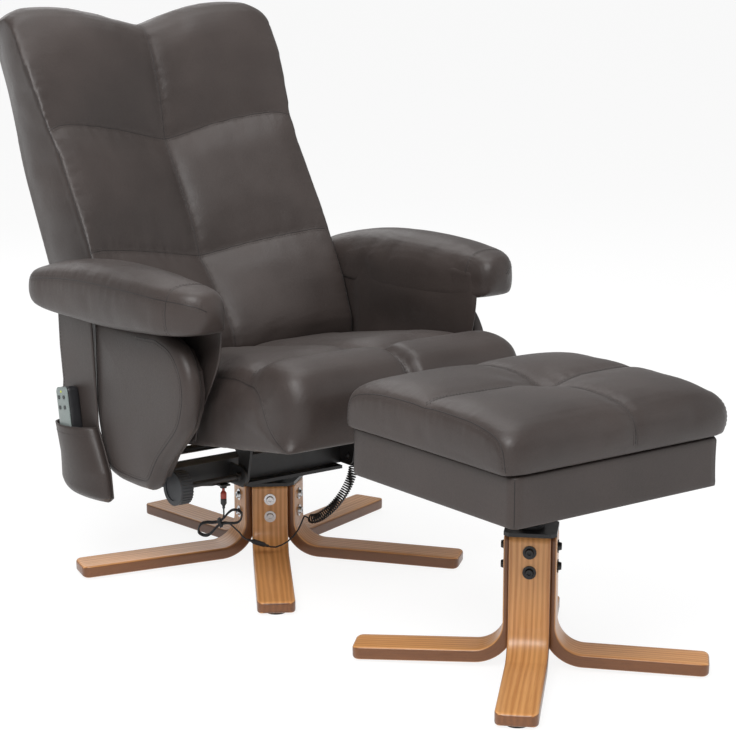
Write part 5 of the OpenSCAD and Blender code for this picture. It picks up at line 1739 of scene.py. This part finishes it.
@dataclass
class BentLegs:
    """A star of bent laminated legs round a hub."""

    finishes: Finishes
    place: Placing
    body: Body
    piece: str
    node: str
    count: int
    face: float
    top: float
    reach: float
    turn: float
    width: float = 65.0
    thick: float = 21.0
    bend_r: float = 46.0
    fall: float = 5.0
    pad: float = 3.0
    tip_r: float = 14.0
    edge_r: float = 3.6
    edge_steps: int = 4
    nose_r: float = 9.0
    nose_squeeze: float = 0.42
    head_len: float = 1.5
    head_squeeze: float = 0.07
    joint_gap: float = 0.4
    least_half: float = 0.5
    upright_steps: int = 14
    bend_steps: int = 22
    run_steps: int = 17
    tip_places: Table = (0.8, 0.6, 0.42, 0.26, 0.14, 0.05, 0.0)
    edge_levels: Table = (0.3, 0.45, 0.6, 0.75)
    face_places: Table = (0.5, 0.0, -0.5)
    cut_side: float = 0.9
    cut_end: float = 1.0
    grain_apart: Triple = (977.0, 131.0, 17.0)

    def stations(self) -> list[tuple[float, float, float, float, float]]:
        """Places along a leg: length, reach, height and the outward direction of its upper face."""
        bend_z = self.pad + self.fall + self.thick + self.bend_r
        bend_x = self.face + self.bend_r
        out = []
        for k in range(self.upright_steps + 1):
            z = self.top - (self.top - bend_z) * k / self.upright_steps
            out.append((self.top - z, self.face, z, 1.0, 0.0))
        s = self.top - bend_z
        for k in range(1, self.bend_steps):
            a = radians(90 * k / self.bend_steps)
            out.append((s + self.bend_r * a, bend_x - self.bend_r * cos(a),
                        bend_z - self.bend_r * sin(a), cos(a), sin(a)))
        s += self.bend_r * pi / 2
        run = self.reach - bend_x
        slope = self.fall / run
        stops = list(np.linspace(0, 1, self.run_steps + 1) * (run - self.tip_r))
        stops += [run - self.tip_r * q for q in self.tip_places]
        for d in stops:
            out.append((s + d, bend_x + d, bend_z - self.bend_r - slope * d, slope, 1.0))
        return out

    def section(self) -> list[Pair]:
        """Rounded rectangle as lateral place and depth below the upper face."""
        h, t, r = self.width / 2, self.thick, self.edge_r
        corners = ((h - r, r, -90, [(h, t * q) for q in self.edge_levels]),
                   (h - r, t - r, 0, [(h * q, t) for q in self.face_places]),
                   (r - h, t - r, 90, [(-h, t * q) for q in reversed(self.edge_levels)]),
                   (r - h, r, 180, [(-h * q, 0.0) for q in self.face_places]))
        pts: list[Pair] = []
        for across, depth, turn, following in corners:
            for k in range(self.edge_steps + 1):
                a = radians(turn + k * 90 / self.edge_steps)
                pts.append((across + r * cos(a), depth + r * sin(a)))
            pts += following
        return pts

    def narrowed(self, s: float, left: float) -> Pair:
        """Half width and share of the thickness at a place along a leg.

        Args:
            s: length from the leg's head.
            left: length up to its tip.

        Returns:
            The half width in millimetres and the share.
        """
        half = self.width / 2
        if left < self.tip_r:
            half = half - self.tip_r + sqrt(max(0.0, self.tip_r ** 2 - (self.tip_r - left) ** 2))
        if s < self.head_len:
            return half, 1 - self.head_squeeze + self.head_squeeze * s / self.head_len
        nose = max(0.0, 1 - left / self.nose_r)
        return half, 1 - self.nose_squeeze * (1 - sqrt(max(0.0, 1 - nose * nose)))

    def leg(self, index: int) -> None:
        """Makes one leg with its grain coordinates."""
        half_angle = pi / self.count
        turn = radians(self.turn + index * 360 / self.count)
        section, stations = self.section(), self.stations()
        verts, grain, cut = [], [], []
        for s, r, z, nr, nz in stations:
            size = hypot(nr, nz)
            left = stations[-1][0] - s
            half, squeeze = self.narrowed(s, left)
            for a, d in section:
                depth = self.thick / 2 + (d - self.thick / 2) * squeeze
                reach = r - nr / size * depth
                limit = reach * tan(half_angle) - self.joint_gap / 2 / cos(half_angle)
                limit = max(self.least_half, limit)
                lateral = max(-limit, min(limit, a * half / (self.width / 2)))
                verts.append((reach * cos(turn) - lateral * sin(turn),
                              reach * sin(turn) + lateral * cos(turn), z - nz / size * depth))
                grain.append([(k + index * apart) * MM for k, apart in zip((s, lateral, d), self.grain_apart)])
                cut.append(float(abs(a) > self.width / 2 - self.cut_side or left < self.cut_end))
        name, node = ("%s_%d" % (stem, index + 1) for stem in (self.piece, self.node))
        piece = new_piece(name, self.place.world(np.array(verts)), ring_faces(len(stations), len(section)))
        face_outward(piece)
        along = piece.data.attributes.new("grain", "FLOAT_VECTOR", "POINT")
        along.data.foreach_set("vector", np.array(grain, dtype=float).ravel())
        rims = piece.data.attributes.new("cut", "FLOAT", "POINT")
        rims.data.foreach_set("value", cut)
        settle(piece, self.body, self.finishes.wood, [node])

    def build(self) -> None:
        """Makes every leg of the star."""
        for index in range(self.count):
            self.leg(index)


@dataclass
class StorageBox(SewnPart):
    """Leather-covered box under the footstool's lid."""

    half_x: float = 205.0
    half_y: float = 195.0
    low: float = 299.0
    height: float = 77.0
    wall: float = 12.0
    foot_levels: Pairs = ((6.0, 4.0, 0.0), (1.2, 6.0, 0.6), (0.2, 7.0, 3.0), (0.0, 7.0, 8.0))
    corner: float = 7.0
    swell_start: float = 8.0
    swell_end: float = 5.0
    swell_in: float = 0.15
    swell: float = 0.5
    swell_steps: int = 9
    rim_levels: Pairs = ((0.8, 7.0, -2.2), (2.6, 6.0, -0.4), (6.0, 5.0, 0.0), (9.6, 4.0, -0.4), (11.6, 3.0, -2.4),
                         (12.0, 2.6, -8.0))
    floor_levels: Pairs = ((12.0, 2.6, 2.0), (13.0, 2.6, 0.0))
    corner_steps: int = 6
    outline_step: float = 12.0
    outline_points: int = 128
    sides: int = 132
    lining_in: float = 10.5
    lining_up: float = 5.0
    seam_in: float = 1.6
    seam_end: float = 3.0

    def levels(self) -> list[Triple]:
        """Inset, corner radius and height of each ring, from the foot over the rim to the floor inside."""
        side = self.height - self.swell_start - self.swell_end
        out = [(inset, corner, self.low + z) for inset, corner, z in self.foot_levels]
        out += [(self.swell_in + self.swell * sin(pi * k / self.swell_steps), self.corner,
                 self.low + self.swell_start + side * k / self.swell_steps) for k in range(1, self.swell_steps + 1)]
        out += [(inset, corner, self.low + self.height + z) for inset, corner, z in self.rim_levels]
        return out + [(inset, corner, self.low + self.wall + z) for inset, corner, z in self.floor_levels]

    def ring(self, inset: float, corner: float, z: float) -> Array:
        """A rounded rectangle at a height."""
        half = (self.half_x - inset, self.half_y - inset)
        outline = rounded_rectangle(half, corner, 0, self.corner_steps)
        edge = even_line(outline, self.outline_step, closed=True)[:self.outline_points]
        whole = np.vstack([edge, edge[:1]])
        at = np.linspace(0, len(edge), self.sides, endpoint=False)
        return np.stack([*(np.interp(at, np.arange(len(whole)), k) for k in whole.T), np.full(self.sides, z)], axis=1)

    def is_inside(self, centre: Vector) -> bool:
        """Whether a face's centre in metres lies on the lining."""
        return (abs(centre.x) < (self.half_x - self.lining_in) * MM
                and abs(centre.y - STOOL_Y * MM) < (self.half_y - self.lining_in) * MM
                and centre.z > (self.low + self.lining_up) * MM)

    def build(self) -> None:
        """Makes the box, its lining and its corner seams."""
        piece = lofted("box_cover", np.array([self.ring(*level) for level in self.levels()]), STOOL)
        self.cover_in_leather(piece, Body.STOOL_TOP, ["stool_box"])
        piece.data.materials.append(self.finishes.lining)
        for face in piece.data.polygons:
            face.material_index = int(self.is_inside(face.center))
        skin = Skin(piece)
        heights = np.linspace(self.low + self.seam_end, self.low + self.height - self.seam_end, 24)
        for cx in (-1, 1):
            for cy in (-1, 1):
                line = np.array([[cx * (self.half_x - self.seam_in), cy * (self.half_y - self.seam_in), z]
                                 for z in heights])
                name = "box_corner_%d%d" % (cx > 0, cy > 0)
                self.stitching.seam(name, skin, STOOL.world(line), Body.STOOL_TOP, ())


@dataclass
class Leads:
    """The leads that hang under the seat, with the routes of the part's source."""

    finishes: Finishes
    wire: float = 2.8
    curl_d: float = 18.0
    curls: int = 32
    ring_steps: int = 16
    fade_turns: float = 0.625
    upper: Pairs = ((-142, -68, 125), (-142, -68, 120), (-143, -69.7, 115.5), (-144.8, -71.5, 111.4),
                    (-146.8, -71.8, 107.5), (-148.7, -69.7, 103.8))
    middle: Pairs = ((-136.8, -59.6, 96.7), (-132.1, -61.9, 96.2), (-127.8, -64.7, 93.2), (-124.2, -68.6, 89),
                     (-120.1, -74.7, 83.3), (-117.6, -81.7, 78.5), (-117.2, -89.5, 73.8), (-113, -94, 69.3),
                     (-108, -95, 67))
    centre: Triple = (-146.0, -62.0, 98.0)
    half_l: float = 42.0
    half_h: float = 14.0
    waist: float = 3.0
    pinch: float = 0.72
    turns: float = 3.5
    turn_steps: int = 24
    step: float = 4.0
    tilt: float = 24.0
    turn: float = -36.0
    lower: Pairs = ((-66, -95, 48), (-61, -95, 45.8), (-50, -95, 43), (-35, -93, 44), (-20, -91, 48), (-5, -88, 55),
                    (8, -84, 64), (17, -80, 73), (24, -76, 80), (29, -72.5, 82), (33.9, -70.4, 79.8))
    curl_route: Pairs = ((38, 77), (68, 57), (142, 112), (142, 163))
    curl_y: float = -70.0
    stub: float = 4.0

    def hank(self) -> Array:
        """The tied hank's crossing loops."""
        c, s = cos(radians(self.turn)), sin(radians(self.turn))
        across, through = np.array([c, s, 0.0]), np.array([-s, c, 0.0])
        ct, st = cos(radians(self.tilt)), sin(radians(self.tilt))
        out = []
        for i in np.arange(0, self.turns * self.turn_steps + 0.5, 1.0):
            a = radians(90 + i * 360 / self.turn_steps)
            w = (i / self.turn_steps - self.turns / 2) * self.step
            x = self.half_l * cos(a)
            narrow = cos(a) ** 2
            z = sin(a) * (self.waist + (self.half_h - self.waist) * 4 * narrow * (1 - narrow * self.pinch))
            out.append(np.array(self.centre) + across * (x * ct - z * st) + through * w
                       + np.array([0, 0, x * st + z * ct]))
        return np.array(out)

    def bezier(self, t: float) -> Array:
        """A point of the curly lead's centre line."""
        p = np.array(self.curl_route, dtype=float)
        return ((1 - t) ** 3 * p[0] + 3 * (1 - t) ** 2 * t * p[1] + 3 * (1 - t) * t * t * p[2] + t ** 3 * p[3])

    def curly(self) -> Array:
        """The lower lead and its curls up to the beam."""
        ts = np.linspace(0, 1, 61)
        line = np.array([self.bezier(t) for t in ts])
        walked = np.concatenate([[0], np.cumsum(np.linalg.norm(np.diff(line, axis=0), axis=1))])
        total = self.curls * self.ring_steps
        fade = self.ring_steps * self.fade_turns
        out = [np.array(p, dtype=float) for p in self.lower]
        out.append(np.array([self.curl_route[0][0], self.curl_y, self.curl_route[0][1]]))
        for i in range(total + 1):
            s = self.stub + (walked[-1] - 2 * self.stub) * i / total
            t = float(np.interp(s, walked, ts))
            c = self.bezier(t)
            d = self.bezier(min(1, t + 0.01)) - self.bezier(max(0, t - 0.01))
            d /= np.linalg.norm(d)
            r = (self.curl_d - self.wire) / 2 * min(1, i / fade, (total - i) / fade)
            a = tau * i / self.ring_steps
            out.append(np.array([c[0] - d[1] * r * cos(a), self.curl_y + r * sin(a),
                                 c[1] + d[0] * r * cos(a)]))
        out.append(np.array([self.curl_route[3][0], self.curl_y, self.curl_route[3][1]]))
        return np.array(out)

    def lead(self, name: str, points: Array, replaced: str) -> tuple[Piece, Array]:
        """A lead as a smooth curve with a round section.

        Args:
            name: piece name.
            points: its route in the chair's frame.
            replaced: CAD node that it replaces.

        Returns:
            The curve, and its route in metres.
        """
        world = CHAIR.world(points)
        data = bpy.data.curves.new(name, "CURVE")
        data.dimensions = "3D"
        data.bevel_depth = self.wire / 2 * MM
        data.bevel_resolution = 3
        data.use_fill_caps = True
        spline = data.splines.new("POLY")
        spline.points.add(len(world) - 1)
        spline.points.foreach_set("co", np.column_stack([world, np.ones(len(world))]).ravel())
        obj = bpy.data.objects.new(name, data)
        bpy.context.scene.collection.objects.link(obj)
        obj.data.materials.append(self.finishes.rubber)
        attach(obj, Body.UPPER.value)
        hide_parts(replaced)
        log.info("%s rides on %s", name, Body.UPPER.value)
        return obj, world

    def build(self) -> None:
        hank_line = np.vstack([np.array(self.upper, dtype=float), self.hank(), np.array(self.middle, dtype=float)])
        hank_line = np.vstack([hank_line[:2], smooth_line(hank_line[1:-1], 420)[1:], hank_line[-1:]])
        hank, path = self.lead("tied_lead", hank_line, "hank_lead")
        nodes = frame["nodes"]
        tuple(path[0])
        path_length(path)
        curly, path = self.lead("curled_lead", self.curly(), "curly_lead")
        tuple(path[0])
        path_length(path)
        wear(nodes["power_connector"], self.finishes.red_plastic)
        for name in ("barrel_connector", "hank_tie", "cord_grommets"):
            wear(nodes[name], self.finishes.rubber)
        soften("hank_tie", 0.4)


def path_length(path: Array) -> float:
    """Length of a polyline."""
    return float(np.linalg.norm(np.diff(path, axis=0), axis=1).sum())


@dataclass
class Hardware:
    """Finishes of the carried-over frames, boards, bolts and knob."""

    finishes: Finishes
    black: tuple[str, ...] = ("hub_core", "hub_cap", "swivel_post", "cross_beam", "rear_tie_bar", "seat_tilt_plates",
                              "back_hinge_brackets", "back_hinge_arms", "stool_hub_core", "stool_hub_cap",
                              "stool_bolts", "stool_post", "lock_shaft")
    bright: tuple[str, ...] = ("hub_bolts", "frame_bolts", "bearing_sleeve", "lid_hinge")
    boards: tuple[str, ...] = ("seat_board", "back_board", "lid_board")
    pads: tuple[str, ...] = ("base_foot_pads", "stool_foot_pads")
    motors: tuple[str, ...] = ("seat_motors", "back_motors")
    covered: tuple[str, ...] = ("side_frame_left", "side_frame_right")
    knobs: tuple[str, ...] = ("lock_knob",)

    def build(self) -> None:
        """Dresses every node of the metalwork."""
        for names, material, round_off in ((self.black, self.finishes.black_steel, 0.7),
                                           (self.bright, self.finishes.bright_steel, 0.4),
                                           (self.boards, self.finishes.board, 0.8),
                                           (self.pads, self.finishes.rubber, 0.4),
                                           (self.motors, self.finishes.black_plastic, 1.0),
                                           (self.covered, self.finishes.leather, 1.5),
                                           (self.knobs, self.finishes.knob, 0.6)):
            for name in names:
                wear(frame["nodes"][name], material)
                soften(name, round_off)
                log.info("%s is dressed in %s", name, material.name)


@dataclass
class Studio:
    """Camera, lamps, floor and backdrop."""

    eye: Triple = (-2032.3, -3042.6, 1129.8)
    pitch: float = 77.95
    yaw: float = -36.6
    lens: float = 100.57
    sensor: float = 36.0
    far: float = 100.0
    aim: Triple = (0.0, -0.1, 0.45)
    lamps: tuple = (("key", (-2.4, -2.0, 3.4), 2.2, 148.0), ("fill", (2.8, -2.6, 2.0), 3.0, 16.0),
                    ("top", (0.2, 0.4, 3.6), 2.4, 45.0), ("rim", (0.8, 3.2, 2.4), 2.4, 25.0))
    floor_size: float = 60.0
    floor_tone: float = 0.86
    floor_glow: float = 1.08
    floor_glow_share: float = 0.82
    world_light: float = 0.37

    def camera(self) -> None:
        """Sets the camera at the photograph's place."""
        data = bpy.data.cameras.new("camera")
        data.lens, data.sensor_width = self.lens, self.sensor
        data.clip_end = self.far
        obj = bpy.data.objects.new("camera", data)
        obj.location = CHAIR.world(np.array(self.eye))
        obj.rotation_euler = (radians(self.pitch), 0.0, radians(self.yaw))
        bpy.context.scene.collection.objects.link(obj)
        bpy.context.scene.camera = obj

    def lamp(self, name: str, place: Triple, size: float, watts: float) -> None:
        """Sets a soft square lamp that looks at the set."""
        data = bpy.data.lights.new(name, "AREA")
        data.size, data.energy = size, watts
        obj = bpy.data.objects.new(name, data)
        obj.location = place
        way = Vector(self.aim) - Vector(place)
        obj.rotation_euler = way.to_track_quat("-Z", "Y").to_euler()
        bpy.context.scene.collection.objects.link(obj)

    def paper(self) -> bpy.types.Material:
        """The pale paper of the floor, which glows for the camera and for mirrored rays."""
        made, shelf, shader = fresh_material("floor_paper")
        shelf.join(shader, {"Base Color": rgba((self.floor_tone,) * 3), "Roughness": 0.9, "Specular IOR Level": 0.0})
        glow = shelf.put("Emission", {"Color": (1, 1, 1, 1), "Strength": self.floor_glow})
        path = shelf.put("LightPath")
        seen = shelf.reckon("MAXIMUM", path.outputs["Is Camera Ray"], path.outputs["Is Glossy Ray"])
        mix = shelf.put("MixShader", {0: shelf.times(seen, self.floor_glow_share), 1: shader.outputs[0],
                                      2: glow.outputs[0]})
        shelf.join(made.node_tree.nodes["Material Output"], {"Surface": mix.outputs[0]})
        return made

    def floor(self) -> None:
        """Makes the floor."""
        half = self.floor_size / 2
        corners = np.array([[-half, -half, 0], [half, -half, 0], [half, half, 0], [-half, half, 0]])
        floor = new_piece("studio_floor", corners, [(0, 1, 2, 3)], False)
        wear(floor, self.paper())
        floor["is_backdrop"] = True

    def world(self) -> None:
        """Makes the white backdrop, which lights the set more softly than it looks."""
        world = bpy.data.worlds.new("studio")
        world.use_nodes = True
        shelf = Shelf(world.node_tree)
        path = shelf.put("LightPath")
        seen = shelf.reckon("MAXIMUM", path.outputs["Is Camera Ray"], path.outputs["Is Transmission Ray"])
        light = shelf.put("Background", {"Color": (1, 1, 1, 1), "Strength": self.world_light})
        white = shelf.put("Background", {"Color": (1, 1, 1, 1), "Strength": 1.0})
        mix = shelf.put("MixShader", {0: seen, 1: light.outputs[0], 2: white.outputs[0]})
        shelf.join(world.node_tree.nodes["World Output"], {"Surface": mix.outputs[0]})
        bpy.context.scene.world = world

    def build(self) -> None:
        """Sets the whole studio."""
        self.floor()
        self.world()
        for lamp in self.lamps:
            self.lamp(*lamp)
        bpy.context.scene.view_settings.view_transform = "Standard"


def write_sizes() -> None:
    """Gathers the CAD box and the dressed box, and keeps neither."""
    now = [list(corner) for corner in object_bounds()]
    ({"cad": [[float(k) for k in c] for c in CAD_BOX],
               "visual": [[float(k) for k in c] for c in now]})


def main() -> None:
    """Builds the set in order: camera, leads, upholstery, legs, metalwork and studio."""
    studio = Studio()
    studio.camera()
    finishes = Finishes()
    Leads(finishes).build()
    stitching = Stitching(finishes)
    BackCushion(finishes, stitching).build()
    SeatCushion(finishes, stitching).build()
    LidCushion(finishes, stitching).build()
    arms = ArmPads(finishes, stitching)
    arms.build()
    SidePanels(finishes, stitching, arms).build()
    Pocket(finishes, stitching).build()
    Handset(finishes, HANDSET).build()
    BentLegs(finishes, CHAIR, Body.BASE, "chair_leg", "base_leg", 5,
             face=57.0, top=142.0, reach=361.0, turn=-122.0).build()
    BentLegs(finishes, STOOL, Body.STOOL_BASE, "footstool_leg", "stool_leg", 4,
             face=41.0, top=218.0, reach=279.0, turn=45.0).build()
    StorageBox(finishes, stitching).build()
    Hardware(finishes).build()
    studio.build()
    write_sizes()


if __name__ == "__main__":
    main()
